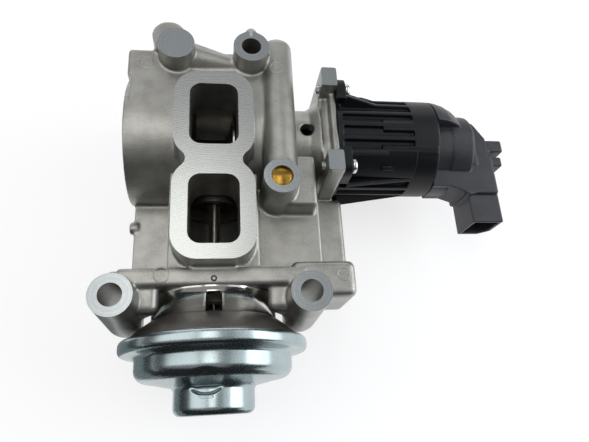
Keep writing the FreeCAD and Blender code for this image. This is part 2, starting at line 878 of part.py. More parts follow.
def bearing_balls():
    x = front_bearing_x + front_bearing_length / 2
    balls = []
    for k in range(ball_count):
        turn = 2 * math.pi * k / ball_count
        centre = V(x, valve_y + ball_path_r() * math.cos(turn),
                   valve_z + ball_path_r() * math.sin(turn))
        balls.append(Part.makeSphere(ball_r, centre))
    return Part.makeCompound(balls)


def yoke_tube():
    x0 = plate_face_x + 1.0 + bearing_plate_thick
    return tube_x(case_bore_r, case_bore_r - yoke_wall, x0, yoke_end_x)


def field_magnets():
    r_out = case_bore_r - yoke_wall
    sweep = 360 / magnet_count - magnet_gap_deg
    magnets = []
    for k in range(magnet_count):
        outer = Part.makeCylinder(r_out, magnet_right_x - magnet_left_x,
                                  V(magnet_left_x, valve_y, valve_z), AXIS_X, sweep)
        inner = rod_x(r_out - magnet_wall, magnet_left_x, magnet_right_x)
        arc = outer.cut(inner)
        arc.rotate(V(0, valve_y, valve_z), AXIS_X, 360 * k / magnet_count + magnet_gap_deg / 2)
        magnets.append(arc)
    return Part.makeCompound(magnets)


def slot_shapes(x0, x1, margin):
    """One winding slot per tooth gap, with a narrow mouth, all round the core."""
    slots = []
    wide = slot_width / 2 - margin
    floor_r = slot_floor_r + margin
    top_r = core_r - tooth_tip - margin
    for k in range(core_slots):
        slot = box(x0, x1, -wide, wide, floor_r, top_r)
        if margin == 0:
            slot = slot.fuse(box(x0, x1, -tooth_gap / 2, tooth_gap / 2, top_r - 1, core_r + 1))
        slot.rotate(V(0, 0, 0), AXIS_X, 360 * k / core_slots)
        slot.translate(V(0, valve_y, valve_z))
        slots.append(slot)
    return slots


def rotor_core():
    core = tube_x(core_r, sleeve_r, core_left_x, core_right_x)
    return core.cut(Part.makeCompound(slot_shapes(core_left_x - 1, core_right_x + 1, 0)))


def rotor_windings():
    """Copper bars in the slots, joined by a rounded bundle at each end of the core."""
    ends = []
    for x0, x1 in ((core_left_x - winding_overhang, core_left_x),
                   (core_right_x, core_right_x + winding_overhang)):
        bundle = tube_x(winding_end_r, sleeve_r + 0.8, x0, x1)
        rims = [e for e in bundle.Edges if abs(e.BoundBox.ZLength - 2 * winding_end_r) < 0.01
                and e.BoundBox.XLength < 1e-6]
        ends.append(bundle.makeFillet(1.4, rims))
    bars = slot_shapes(core_left_x - 0.5, core_right_x + 0.5, 0.25)
    return fuse_all(ends + bars)


def commutator():
    x0 = commutator_left_x
    x1 = x0 + commutator_length
    ring = tube_x(commutator_r, sleeve_r, x0, x1)
    cuts = []
    for k in range(core_slots):
        cut = box(x0 - 1, x1 - 1.2, -segment_gap / 2, segment_gap / 2, sleeve_r + 0.7, commutator_r + 1)
        cut.rotate(V(0, 0, 0), AXIS_X, 360 * (k + 0.5) / core_slots)
        cut.translate(V(0, valve_y, valve_z))
        cuts.append(cut)
    return ring.cut(Part.makeCompound(cuts))


def rotor_sleeve():
    return tube_x(sleeve_r, lead_screw_r + slide_fit, sleeve_left_x, sleeve_right_x)


def rear_bush():
    x1 = case_end_x
    return tube_x(rear_bush_r, sleeve_r + slide_fit, x1 - case_rear_wall - 1.5, x1)


def brush_holder():
    """Insulating ring on the end of the yoke, with a channel for each brush."""
    x0 = yoke_end_x
    x1 = case_end_x - case_rear_wall
    ring = tube_x(case_bore_r, brush_ring_r - 1.6, x0, x1)
    web = tube_x(brush_ring_r, brush_ring_bore_r, x1 - 3.0, x1)
    cheeks = box(x0 + 0.6, x1, valve_y - brush_width / 2 - 1.4, valve_y + brush_width / 2 + 1.4,
                 valve_z - brush_ring_r, valve_z + brush_ring_r)
    cheeks = cheeks.cut(rod_x(brush_ring_bore_r, x0, x1))
    channel = box(x0 + 1.4, x1 - 2.8, valve_y - brush_width / 2, valve_y + brush_width / 2,
                  valve_z - brush_ring_r - 1, valve_z + brush_ring_r + 1)
    return fuse_all([ring, web, cheeks]).cut(channel)


def brushes():
    x0 = yoke_end_x + 1.4
    x1 = case_end_x - case_rear_wall - 2.8
    first = commutator_r + 0.15
    half = brush_width / 2
    upper = box(x0, x1, valve_y - half, valve_y + half, valve_z + first,
                valve_z + first + brush_length)
    lower = box(x0, x1, valve_y - half, valve_y + half, valve_z - first - brush_length,
                valve_z - first)
    return Part.makeCompound([upper, lower])


def lead_screw():
    """Screw that the rotor turns into travel; a flat at the rear stops it turning."""
    screw = rod_x(lead_screw_r, lead_screw_tip_x, lead_screw_end_x)
    thread_x0 = core_left_x
    grooves = []
    for k in range(8):
        x = thread_x0 + 2.2 * k
        grooves.append(tube_x(lead_screw_r + 1, lead_screw_r - 0.4, x, x + 1.1))
    return screw.cut(Part.makeCompound(grooves))


def sensor_magnet():
    return rod_x(sensor_magnet_r, lead_screw_end_x, lead_screw_end_x + sensor_magnet_length)


def sensor_board():
    x1 = cover_end_x - cover_wall
    board = rod_x(board_r, x1 - board_thick, x1)
    chip = box(x1 - board_thick - 1.0, x1 - board_thick, valve_y - 2.4, valve_y + 2.4,
               valve_z - 2.0, valve_z + 2.0)
    return board.fuse(chip).removeSplitter()


def cover_cup():
    x0 = case_end_x
    cup = rod_x(cover_r - cover_step, x0, cover_step_x)
    main = rod_x(cover_r, cover_step_x, cover_end_x)
    rims = [e for e in main.Edges if e.BoundBox.XMin > cover_end_x - 1e-6]
    return [cup, main.makeFillet(cover_edge_r, rims)]


def cover_web():
    """Flat web behind the case that carries the prongs at one end, the shroud at the other."""
    x0 = case_end_x
    top = valve_y + case_r - 0.6
    low = valve_y - case_r + 0.8
    outline = [V(x0, top, 0), V(x0 + 11, top - 1.0, 0), V(cover_step_x + 6, top - 4.2, 0),
               V(cover_end_x - 3, top - 8.0, 0), V(prong_left_x - 5.5, top - 12.0, 0),
               V(prong_left_x, prong_rear_y, 0), V(prong_left_x, shroud_rear_y - 1, 0),
               V(shroud_left_x, shroud_rear_y - 5, 0), V(shroud_left_x - 3, low - 2.6, 0),
               V(x0 + 9, low, 0), V(x0, low, 0)]
    face = Part.Face(Part.makePolygon(outline + outline[:1]))
    face.translate(V(0, 0, web_bottom_z))
    return face.extrude(V(0, 0, web_top_z - web_bottom_z))


def cover_shell():
    """The case's round shape goes on round the sensor's cup, but not in front of it."""
    x0 = case_end_x
    r = case_r
    dome = revolve_x([(x0, 0), (x0, r), (x0 + 3, r - 0.4), (x0 + 7, r - 1.5),
                      (x0 + 10.5, r - 3.5), (x0 + 14, r - 6), (x0 + 16, cover_r - 1), (x0 + 16, 0)])
    upper = dome.common(box(x0, cover_end_x, valve_y + shell_open_y, valve_y + r + 1,
                            valve_z - r - 1, valve_z + r + 1))
    drum = rod_x(r - 0.2, x0, shell_drum_end_x)
    lower = drum.common(box(x0, cover_end_x, valve_y - r - 1, valve_y + r + 1,
                            valve_z - r - 1, valve_z + shell_open_y))
    return [upper, lower]


def connector_block():
    """Bridge from the cover's end to the connector shroud, with its prongs."""
    bridge = soft_box(cover_end_x - 6, bridge_right_x, shroud_rear_y - 4, bridge_rear_y,
                      bridge_bottom_z, bridge_top_z, 1.2)
    neck = box(cover_end_x - 2, cover_end_x + 4, valve_y - 12, valve_y + 6, valve_z - 8, valve_z + 8)
    prong = soft_box(prong_left_x - 6, prong_right_x, prong_front_y, prong_rear_y,
                     valve_z - prong_thick / 2, valve_z + prong_thick / 2, 1.0)
    short = soft_box(prong_left_x - 6, prong_right_x - 2, bridge_rear_y - 5.5, bridge_rear_y,
                     valve_z - prong_thick / 2, valve_z + prong_thick / 2, 1.0)
    arm = box(cover_end_x - 2, prong_left_x + 2, valve_y - 4, prong_rear_y - 1,
              valve_z - prong_thick / 2, valve_z + prong_thick / 2)
    return [bridge, neck, prong, short, arm]


def shroud_block():
    block = box(shroud_left_x, shroud_right_x, shroud_front_y, shroud_rear_y,
                shroud_bottom_z, shroud_top_z)
    key = edges_along(block, AXIS_Y, lambda p: p.z < shroud_bottom_z + 1e-6 and p.x > shroud_left_x + 1)
    block = block.makeChamfer(shroud_corner, key)
    w = shroud_wall
    inside = box(shroud_left_x + w, shroud_right_x - w, shroud_front_y - 1,
                 shroud_rear_y - shroud_floor, shroud_bottom_z + w, shroud_top_z - w)
    key = edges_along(inside, AXIS_Y, lambda p: p.z < shroud_bottom_z + w + 1e-6
                      and p.x > shroud_left_x + w + 1)
    return block, inside.makeChamfer(shroud_corner - w / 2, key)


def sensor_cover():
    """Rear cover with the position sensor's chamber and the connector."""
    block, inside = shroud_block()
    body = fuse_all(cover_cup() + cover_shell() + [cover_web()] + connector_block() + [block])
    chamber = rod_x(cover_r - cover_wall, case_end_x - 1, cover_end_x - cover_wall)
    return cut_all(body, [chamber, inside] + pin_bars())


def pin_bars():
    """Connector terminals, two rows that stand in the shroud's floor."""
    mid_x = (shroud_left_x + shroud_right_x) / 2 - 1.0
    mid_z = (shroud_top_z + shroud_bottom_z) / 2 + 0.5
    root_y = shroud_rear_y - 1.0
    half = pin_side / 2
    bars = []
    for row in range(pin_rows):
        for k in range(pin_count):
            x = mid_x + (k - (pin_count - 1) / 2) * pin_pitch
            z = mid_z + (row - (pin_rows - 1) / 2) * pin_pitch * 1.2
            bars.append(box(x - half, x + half, root_y - shroud_floor - pin_length + 1,
                            root_y, z - half, z + half))
    return bars


def terminal_pins():
    return Part.makeCompound(pin_bars())


def actuator_collar():
    """Machined ring with vent windows that carries the diaphragm case."""
    y0 = wall_front_y
    y1 = collar_end_y
    r_in = collar_r - collar_wall
    ring = revolve_y([(y0, collar_hole_r), (y0, collar_r + 0.6), (y0 - 1.0, collar_r + 0.6),
                      (y0 - 1.6, collar_r), (collar_groove_y + 0.4, collar_r),
                      (collar_groove_y, collar_r - collar_groove),
                      (y1, collar_r - collar_groove), (y1, r_in),
                      (y0 - collar_base, r_in), (y0 - collar_base, collar_hole_r)])
    tools = collar_screw_holes(y1, y0)
    for k in range(window_count):
        window = box(-window_width / 2, window_width / 2, y1 - 1, y1 + window_depth, 0, collar_r + 2)
        window = window.makeFillet(1.4, edges_along(window, AXIS_Z, lambda p: p.y > y1))
        window.rotate(V(0, 0, 0), AXIS_Y, 360 * k / window_count)
        window.translate(V(0, 0, bypass_z))
        tools.append(window)
    return cut_all(ring, tools)


def collar_screws():
    y0 = wall_front_y - collar_base
    screws = []
    for x, z in collar_screw_places():
        shank = rod_y(collar_screw_r, y0, wall_front_y + collar_screw_depth - 0.5, x, z)
        head = rod_y(collar_screw_r + 1.4, y0 - 1.8, y0, x, z)
        screws.append(shank.fuse(head).removeSplitter())
    return Part.makeCompound(screws)


def diaphragm_case():
    """Coned sheet case between the collar and the rolled rim."""
    y0 = collar_end_y
    t = case_sheet
    root_r = collar_r - collar_groove
    outer = [(y0, root_r)]
    for k in range(1, 7):
        share = k / 6
        bulge = cone_bulge * math.sin(math.pi * share)
        outer.append((y0 + (cone_rim_y - y0) * share, root_r + (cone_rim_r - root_r) * share + bulge))
    inner = [(y - t * 0.7, r - t) for y, r in reversed(outer)]
    inner[-1] = (y0 - t, root_r - t)
    seat_y = rim_y + diaphragm_thick / 2 + slide_fit
    rim = [(seat_y, cone_rim_r), (seat_y, cone_rim_r - 5.0), (seat_y + t, cone_rim_r - 5.0)]
    seat = [(y0 - t, collar_r - collar_wall), (y0, collar_r - collar_wall)]
    return revolve_y(outer + rim + inner[1:] + seat)


def quarter(y, r, radius, y_side, r_side, count=4):
    """Points of a quarter turn about (y, r), from its r side to its y side."""
    points = []
    for k in range(count + 1):
        turn = math.radians(90 * k / count)
        points.append((y + y_side * radius * math.sin(turn), r + r_side * radius * math.cos(turn)))
    return points


def cap_line(inset):
    """The pressed cap from its wall to its axis, offset inwards by the inset."""
    wall_r = cap_r - cap_shoulder_r
    line = quarter(cap_shoulder_y + cap_shoulder_r, wall_r, cap_shoulder_r - inset, -1, 1)
    root_y = cap_shoulder_y - cap_dish
    root = quarter(root_y - small_cap_root_r, small_cap_r + small_cap_root_r,
                   small_cap_root_r + inset, 1, -1)
    line += root[::-1]
    end_r = small_cap_r - small_cap_edge_r
    line += quarter(small_cap_end_y + small_cap_edge_r, end_r, small_cap_edge_r - inset, -1, 1)
    return line + [(small_cap_end_y + inset, 0)]


def crimped_rim():
    """The rolled rim, from its lip over the coned case round to the cap's wall."""
    line = [(rim_y + rim_half, cone_rim_r - 0.6)]
    for k in range(7):
        turn = math.radians(-60 + 150 * k / 6)
        line.append((rim_y - rim_half * math.sin(turn), rim_r - rim_half * (1 - math.cos(turn))))
    return line + [(rim_y - rim_half - 0.4, cap_r + 1.2), (rim_y - rim_half - 1.2, cap_r)]


def actuator_cap():
    """Pressed cap: one sheet, crimped over the rim of the coned case."""
    t = case_sheet
    top = rim_y + rim_half
    solid = revolve_y([(top, 0)] + crimped_rim() + cap_line(0))
    hollow = revolve_y([(top + 1, 0), (top + 1, cap_r - t)] + cap_line(t))
    seat_y = rim_y - diaphragm_thick / 2 - slide_fit
    clamp = rod_y(cone_rim_r, seat_y, top + 1)
    solid = solid.cut(hollow).cut(clamp)
    dent_z = bypass_z + small_cap_r - t / 2
    dent = rod_y(dent_r, cap_shoulder_y - cap_dish - dent_reach, cap_shoulder_y, dent_x,
                 dent_z + small_cap_root_r)
    dent = dent.common(box(dent_x - dent_r, dent_x + dent_r, cap_shoulder_y - 9, cap_shoulder_y,
                           dent_z, dent_z + 2 * dent_r))
    hole = rod_z(nipple_r, bypass_z - small_cap_r - 2, bypass_z - small_cap_r + t + 1, 0, nipple_y)
    return fuse_all([solid, dent]).cut(hole)


def vacuum_nipple():
    """Hose nipple pressed into the cap's hidden side, with one barb."""
    z1 = bypass_z - small_cap_r + case_sheet
    z0 = z1 - nipple_length
    pipe = rod_z(nipple_r, z0, z1, 0, nipple_y)
    barb = Part.makeCone(nipple_r, nipple_r + nipple_flare, 3, V(0, nipple_y, z0 + 1), AXIS_Z)
    return pipe.fuse(barb).removeSplitter().cut(rod_z(nipple_bore_r, z0 - 1, z1 + 1, 0, nipple_y))


def bypass_guide_bush():
    return tube_y(guide_r, bypass_stem_r + slide_fit, wall_front_y + 1, wall_front_y + 1 + guide_length)


def stem_scraper():
    y1 = wall_front_y
    return tube_y(scraper_r, bypass_stem_r + loose_fit, y1 - scraper_thick, y1)


def bypass_seat():
    y0 = bypass_seat_front_y
    y1 = y0 + bypass_seat_length
    return revolve_y([(y0, bypass_seat_bore_r + 0.8), (y0, bypass_seat_r), (y1, bypass_seat_r),
                      (y1, bypass_seat_bore_r), (y0 + 0.8, bypass_seat_bore_r)])


def bypass_poppet():
    """Dished poppet: its rim closes on the seat and its hub holds the stem."""
    y1 = bypass_seat_front_y - seat_gap
    rim_y0 = y1 - bypass_poppet_rim
    front = rim_y0 - bypass_poppet_dish
    r = bypass_poppet_r
    return revolve_y([(y1, bypass_stem_r), (y1, r - 0.4), (y1 - 0.4, r), (front, r),
                      (front, r - 1.4), (rim_y0, r - 2.6), (rim_y0, bypass_poppet_hub_r),
                      (rim_y0 - 1.4, bypass_poppet_hub_r), (rim_y0 - 1.4, bypass_stem_r)])


def bypass_stem():
    y1 = bypass_seat_front_y - seat_gap + 1.6
    y0 = cup_top_y - plate_sheet - rivet_thick
    stem = rod_y(bypass_stem_r, y0, y1)
    head = rod_y(bypass_stem_r + 1.4, y1 - 1.6, y1)
    rivet = rod_y(bypass_stem_r + 1.6, y0, y0 + rivet_thick)
    return fuse_all([stem, head, rivet])


def diaphragm_plate():
    """Cup that spreads the diaphragm's push on the stem and seats the spring."""
    y1 = cup_top_y
    y0 = y1 - plate_sheet
    t = plate_sheet
    return revolve_y([(y1, bypass_stem_r), (y1, plate_r), (y0 - plate_skirt, plate_r),
                      (y0 - plate_skirt, plate_r - t), (y0, plate_r - t), (y0, bypass_stem_r)])


def diaphragm():
    """Rubber diaphragm, clamped in the rim, with one rolling fold beside the cup."""
    t = diaphragm_thick
    clamp_y = rim_y + t / 2
    inner_r = plate_r + soft_gap
    outer_r = cap_r - case_sheet - soft_gap
    upper = [(plate_y, bypass_stem_r + soft_gap), (plate_y, inner_r)]
    for k in range(1, 6):
        turn = math.radians(180 * k / 6)
        upper.append((plate_y + diaphragm_fold * math.sin(turn) + (clamp_y - plate_y) * (k / 6) ** 3,
                      inner_r + (outer_r - inner_r) * (1 - math.cos(turn)) / 2))
    upper += [(clamp_y, outer_r), (clamp_y, cone_rim_r - soft_gap)]
    lower = [(y - t, r) for y, r in reversed(upper)]
    return revolve_y(upper + lower)


def actuator_spring():
    top = cup_top_y - plate_sheet - slide_fit
    bottom = small_cap_end_y + case_sheet + slide_fit
    spring = coil(actuator_spring_wire_r, actuator_spring_r, top - bottom, actuator_spring_turns)
    spring.rotate(V(0, 0, 0), AXIS_X, -90)
    spring.translate(V(0, bottom, bypass_z))
    return spring


def outer_valve_seat():
    return seat_ring(left_partition_x, outer_seat_bore_r)


def inner_valve_seat():
    return seat_ring(middle_half_length, inner_seat_bore_r)


NODES = [valve_housing, brass_plug, outer_valve_seat, inner_valve_seat, stem_guide_bush,
         stem_seal, stem_shield, main_valve_stem, outer_poppet, inner_poppet, spring_retainer,
         retainer_clip, return_spring, motor_case, case_seal_ring, motor_screws, bearing_plate,
         front_bearing_outer, bearing_balls, front_bearing_inner, yoke_tube, field_magnets,
         rotor_core, rotor_windings, commutator, rotor_sleeve, rear_bush, brush_holder, brushes,
         lead_screw, sensor_magnet, sensor_board, sensor_cover, terminal_pins, actuator_collar,
         collar_screws, diaphragm_case, actuator_cap, vacuum_nipple, diaphragm, diaphragm_plate,
         actuator_spring, bypass_stem, bypass_poppet, bypass_seat, bypass_guide_bush,
         stem_scraper]

os.makedirs("parts", exist_ok=True)
for node in NODES:
    shape = node()
    shape.exportStep("parts/" + node.__name__ + ".step")
    print(node.__name__, len(shape.Solids), "solids", round(shape.Volume, 1), shape.isValid())
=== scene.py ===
# %% [markdown]
# # Exhaust gas recirculation valve
# A die-cast valve housing lies with its gasket face up. A black electric motor stands out of
# its right side and a zinc-plated vacuum actuator out of its front. The solid model is the
# fixed frame; this script gives it castings, sheet metal, plastics and light.

# %% Load the frame
import math
import bpy
import bmesh
import numpy as np
from mathutils import Matrix, Vector


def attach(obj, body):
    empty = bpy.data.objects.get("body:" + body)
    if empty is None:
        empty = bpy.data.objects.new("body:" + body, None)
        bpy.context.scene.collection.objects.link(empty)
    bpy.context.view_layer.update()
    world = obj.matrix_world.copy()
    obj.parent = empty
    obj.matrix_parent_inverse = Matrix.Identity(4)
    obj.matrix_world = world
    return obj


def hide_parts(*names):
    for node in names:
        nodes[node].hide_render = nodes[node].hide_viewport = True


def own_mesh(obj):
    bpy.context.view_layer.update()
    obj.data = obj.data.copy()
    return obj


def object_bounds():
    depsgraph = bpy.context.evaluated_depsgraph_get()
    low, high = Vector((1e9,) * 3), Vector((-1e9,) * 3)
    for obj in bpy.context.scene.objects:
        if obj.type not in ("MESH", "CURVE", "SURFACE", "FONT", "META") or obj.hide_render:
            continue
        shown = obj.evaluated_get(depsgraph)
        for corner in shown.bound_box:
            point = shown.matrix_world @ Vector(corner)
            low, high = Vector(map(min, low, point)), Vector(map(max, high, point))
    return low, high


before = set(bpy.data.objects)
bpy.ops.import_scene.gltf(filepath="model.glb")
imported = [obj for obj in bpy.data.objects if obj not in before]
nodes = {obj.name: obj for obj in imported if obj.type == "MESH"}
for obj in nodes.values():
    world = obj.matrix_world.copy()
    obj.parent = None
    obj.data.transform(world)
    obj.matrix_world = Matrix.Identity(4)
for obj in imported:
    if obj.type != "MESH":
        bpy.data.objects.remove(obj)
cad_low, cad_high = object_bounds()
mm = 0.001

# %% [markdown]
# The camera looks steeply down on the gasket face, from near the actuator, and is rolled by
# about twenty degrees. A lens of normal width close to the part gives the strong perspective
# of a hand-held picture, so the camera is placed by its own axes and not by a tracker.

# %% Camera
look_down = math.radians(67.408)
turn = math.radians(22.739)
roll = math.radians(21.113)
camera_place = Vector((1.2186, -101.5734, 192.2403)) * mm

forward = Vector((math.sin(turn) * math.cos(look_down), math.cos(turn) * math.cos(look_down),
                  -math.sin(look_down)))
level = Vector((math.cos(turn), -math.sin(turn), 0))
upright = level.cross(forward)
across = level * math.cos(roll) + upright * math.sin(roll)
upward = upright * math.cos(roll) - level * math.sin(roll)

lens_data = bpy.data.cameras.new("studio_camera")
lens_data.sensor_width = 36.0
lens_data.lens = 31.524
lens_data.clip_start = 0.01
lens_data.clip_end = 20.0
camera = bpy.data.objects.new("studio_camera", lens_data)
camera.matrix_world = Matrix((
    (across.x, upward.x, -forward.x, camera_place.x),
    (across.y, upward.y, -forward.y, camera_place.y),
    (across.z, upward.z, -forward.z, camera_place.z),
    (0, 0, 0, 1)))
bpy.context.scene.collection.objects.link(camera)
bpy.context.scene.camera = camera
bpy.context.scene.view_settings.view_transform = "Standard"
print("camera at", [round(v, 3) for v in camera_place])

# %% [markdown]
# Shader nodes are easier to read when each one is a single call. `put` adds a node, sets its
# own fields and joins or fills its sockets; `blend_of` mixes two colours or values.

# %% Shader helpers
def put(tree, kind, inputs=None, **settings):
    """One shader node. settings are its fields; inputs its sockets, each a value or a link."""
    node = tree.nodes.new(kind)
    for field, value in settings.items():
        setattr(node, field, value)
    for socket, value in (inputs or {}).items():
        if isinstance(value, bpy.types.NodeSocket):
            tree.links.new(value, node.inputs[socket])
        else:
            node.inputs[socket].default_value = value
    return node


def rgba(colour):
    """The colour with full opacity, as sockets want it."""
    return (*colour, 1.0)


def blend_of(tree, share, first, second):
    """Colour that goes from first to second as share goes from 0 to 1."""
    node = put(tree, "ShaderNodeMix", data_type="RGBA")
    for index, value in ((0, share), (6, first), (7, second)):
        if isinstance(value, bpy.types.NodeSocket):
            tree.links.new(value, node.inputs[index])
        else:
            node.inputs[index].default_value = value if index == 0 else rgba(value)
    return node.outputs[2]


def sum_of(tree, kind, first, second):
    """A Math node of that kind on two values or links."""
    return put(tree, "ShaderNodeMath", {0: first, 1: second}, operation=kind).outputs[0]


def span(tree, value, low, high, start=0.0, end=1.0):
    """value taken from low..high to start..end, and held there outside."""
    node = put(tree, "ShaderNodeMapRange", {0: value, 1: low, 2: high, 3: start, 4: end})
    return node.outputs[0]


def speckle(tree, place, scale, detail=3.0):
    """Noise of that many lumps per metre, as a value round one half."""
    return put(tree, "ShaderNodeTexNoise",
               {"Vector": place, "Scale": scale, "Detail": detail}).outputs["Fac"]


# %% [markdown]
# The part lies on a sheet of white paper. Stronger lamps would also make the paper white, but
# they would burn out the milled metal. So the paper glows a little for the camera and in
# reflections, still takes a shadow, and throws only a dim light back on the part.

# %% Floor
def flat_sheet(name, corners, material):
    """An object of one four-cornered face."""
    mesh = bpy.data.meshes.new(name)
    mesh.from_pydata(corners, [], [(0, 1, 2, 3)])
    mesh.materials.append(material)
    sheet_object = bpy.data.objects.new(name, mesh)
    bpy.context.scene.collection.objects.link(sheet_object)
    return sheet_object


def floor_paper():
    """Paper that is bright to the camera and to reflections, and dim to everything else."""
    material = bpy.data.materials.new("floor_paper")
    material.use_nodes = True
    tree = material.node_tree
    tree.nodes.clear()
    path = put(tree, "ShaderNodeLightPath").outputs
    seen = sum_of(tree, "MAXIMUM", path["Is Camera Ray"], path["Is Glossy Ray"])
    seen = sum_of(tree, "MAXIMUM", seen, path["Is Transmission Ray"])
    lit = put(tree, "ShaderNodeBsdfDiffuse", {"Color": rgba((0.22, 0.22, 0.23))}).outputs[0]
    paper = put(tree, "ShaderNodeBsdfDiffuse", {"Color": rgba((0.36, 0.36, 0.37))}).outputs[0]
    glow = put(tree, "ShaderNodeEmission", {"Color": rgba((1, 1, 1)), "Strength": 0.71}).outputs[0]
    bright = put(tree, "ShaderNodeAddShader", {0: paper, 1: glow}).outputs[0]
    mixed = put(tree, "ShaderNodeMixShader", {0: seen, 1: lit, 2: bright}).outputs[0]
    put(tree, "ShaderNodeOutputMaterial", {"Surface": mixed})
    return material


floor_gap = 0.0004
floor_z = cad_low.z - floor_gap
reach = 4.0
floor = flat_sheet("floor", [(-reach, -reach, floor_z), (reach, -reach, floor_z),
                             (reach, reach, floor_z), (-reach, reach, floor_z)], floor_paper())
print("floor at", round(floor_z * 1000, 1), "mm")

# %% [markdown]
# Metal shows what is around it, so each light is placed by the direction in which the shiny
# cap would see it. A dim roof carries one bright key panel straight above; paler panels hang to
# the left and the right, and the brightest one stands low on the right, where it draws the
# light edge on the cap. The room is dark on the camera's side. A picture of a studio wrapped
# round the scene would do the same, but panels are easier to name and to move.

# %% Room and lamp helpers
def room(front, rear):
    """An even gradient along Y: dim on the camera's side, paler behind the part."""
    world = bpy.data.worlds.new("room")
    world.use_nodes = True
    tree = world.node_tree
    way = put(tree, "ShaderNodeTexCoord").outputs["Generated"]
    along = put(tree, "ShaderNodeSeparateXYZ", {0: way}).outputs[1]
    back = tree.nodes["Background"]
    tree.links.new(blend_of(tree, span(tree, along, -0.5, 0.9), front, rear), back.inputs["Color"])
    back.inputs["Strength"].default_value = 1.0
    return world


bpy.context.scene.world = room((0.02, 0.021, 0.024), (0.22, 0.225, 0.235))


def soft_panel(name, place, aim, size_x, size_y, radiance, colour):
    """A lamp of one even brightness: its power is that brightness times pi times its area."""
    data = bpy.data.lights.new(name, "AREA")
    data.shape = "RECTANGLE"
    data.size = size_x
    data.size_y = size_y
    data.energy = radiance * math.pi * size_x * size_y
    data.color = colour
    lamp = bpy.data.objects.new(name, data)
    lamp.location = place
    lamp.rotation_mode = "QUATERNION"
    lamp.rotation_quaternion = (Vector(aim) - Vector(place)).to_track_quat("-Z", "Y")
    lamp.visible_camera = False
    bpy.context.scene.collection.objects.link(lamp)
    return lamp


def panel_over(name, x_span, y_span, height, radiance, colour):
    """A level panel that the part sees between those angles from straight up, in degrees."""
    x0, x1 = (height * math.tan(math.radians(a)) for a in x_span)
    y0, y1 = (height * math.tan(math.radians(a)) for a in y_span)
    middle = Vector(((x0 + x1) / 2, (y0 + y1) / 2, height))
    below = middle - Vector((0, 0.0001, 1))
    return soft_panel(name, middle, below, x1 - x0, y1 - y0, radiance, colour)


print("room", bpy.context.scene.world.name)

# %% [markdown]
# The brightness of each panel was read off the reflections in the photograph's cap.

# %% Lamps
warm, cool, plain = (1.0, 0.985, 0.95), (0.95, 0.985, 1.0), (1.0, 1.0, 1.0)
panel_over("roof_panel", (-72, 22), (-52, 52), 0.9, 0.30, plain)
panel_over("key_panel", (-15, 4), (-16, 27), 0.8, 2.15, warm)
panel_over("left_panel", (-68, -22), (-22, 34), 0.7, 1.15, plain)
panel_over("right_roof_panel", (24, 46), (-30, 40), 0.7, 0.85, cool)
panel_over("right_edge_panel", (47, 60), (-30, 46), 0.7, 2.0, cool)
middle_of_part = Vector((0.0, -0.03, -0.03))
soft_panel("right_panel", (0.95, -0.04, 0.36), middle_of_part, 0.95, 0.70, 2.5, cool)
soft_panel("rear_panel", (-0.1, 1.2, 0.42), middle_of_part, 1.7, 0.6, 1.3, plain)

# %% [markdown]
# These cards are painted reflections: they are seen by reflections only, cast no shadow and glow
# with a grey level, so they paint dark and grey bands into the shiny metal. One stands left of
# the actuator and one in front of it, and two lie on the paper beside it, where the cap would
# otherwise mirror bright paper.

# %% Painted reflection cards
card_foot_z = floor_z + 0.001


def painted_reflection_cards(cards):
    """Each card goes from the line a-b near the floor to the line c-d at the height top, and
    glows with its grey level: a painted reflection, seen by reflections only."""
    for k, (a, b, c, d, top, grey) in enumerate(cards):
        material = bpy.data.materials.new(f"painted_reflection_card_{k}")
        material.use_nodes = True
        shader = material.node_tree.nodes["Principled BSDF"]
        shader.inputs["Base Color"].default_value = rgba((0.01, 0.01, 0.01))
        # painted reflection: the card glows with its grey level, though it is no lamp
        shader.inputs["Emission Color"].default_value = rgba((0.85, 1.0, 1.0))
        shader.inputs["Emission Strength"].default_value = grey
        corners = [(*a, card_foot_z), (*b, card_foot_z), (*c, top), (*d, top)]
        card = flat_sheet(f"painted_reflection_card_{k}", corners, material)
        # hidden from the camera, diffuse light and shadows, so the card only paints reflections
        for ray in ("camera", "diffuse", "transmission", "shadow"):
            setattr(card, "visible_" + ray, False)


left, right, front = (-0.16, -0.02), (0.07, -0.155), (-0.16, -0.155)
painted_reflection_cards([
    (left, front, front, left, -0.025, 0.03),
    (front, right, right, front, 0.005, 0.0),
    ((-0.052, -0.04), (-0.052, -0.15), (-0.16, -0.15), (-0.16, -0.04), card_foot_z, 0.26),
    ((-0.05, -0.118), (0.05, -0.118), (0.05, -0.154), (-0.05, -0.154), card_foot_z, 0.16),
])

# %% [markdown]
# New pieces are surfaces worked out as whole arrays of points. `link_piece` makes the object and
# lets it ride on its body, so that it moves with its joint. `copy_of` takes a solid's own
# triangles, merges their corners and shades them smooth up to an angle: a turned or drilled
# part already has the right shape, and this keeps its crisp edges.

# %% Piece helpers
def link_piece(name, mesh, body, *replaced):
    """The mesh as a piece of that body, in the place of the nodes it replaces."""
    piece = bpy.data.objects.new(name, mesh)
    bpy.context.scene.collection.objects.link(piece)
    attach(piece, body)
    if replaced:
        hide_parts(*replaced)
    return piece


def merged_copy(node):
    """The node's triangles with their shared corners joined."""
    shape = bmesh.new()
    shape.from_mesh(nodes[node].data)
    bmesh.ops.remove_doubles(shape, verts=shape.verts, dist=2e-6)
    mesh = bpy.data.meshes.new(node + "_copy")
    shape.to_mesh(mesh)
    shape.free()
    return mesh


def covered(mesh, material, angle=32.0):
    """The mesh in that one material and smoothly shaded, with edges sharper than the angle kept
    crisp."""
    mesh.shade_smooth()
    mesh.set_sharp_from_angle(angle=math.radians(angle))
    mesh.materials.clear()
    mesh.materials.append(material)
    return mesh


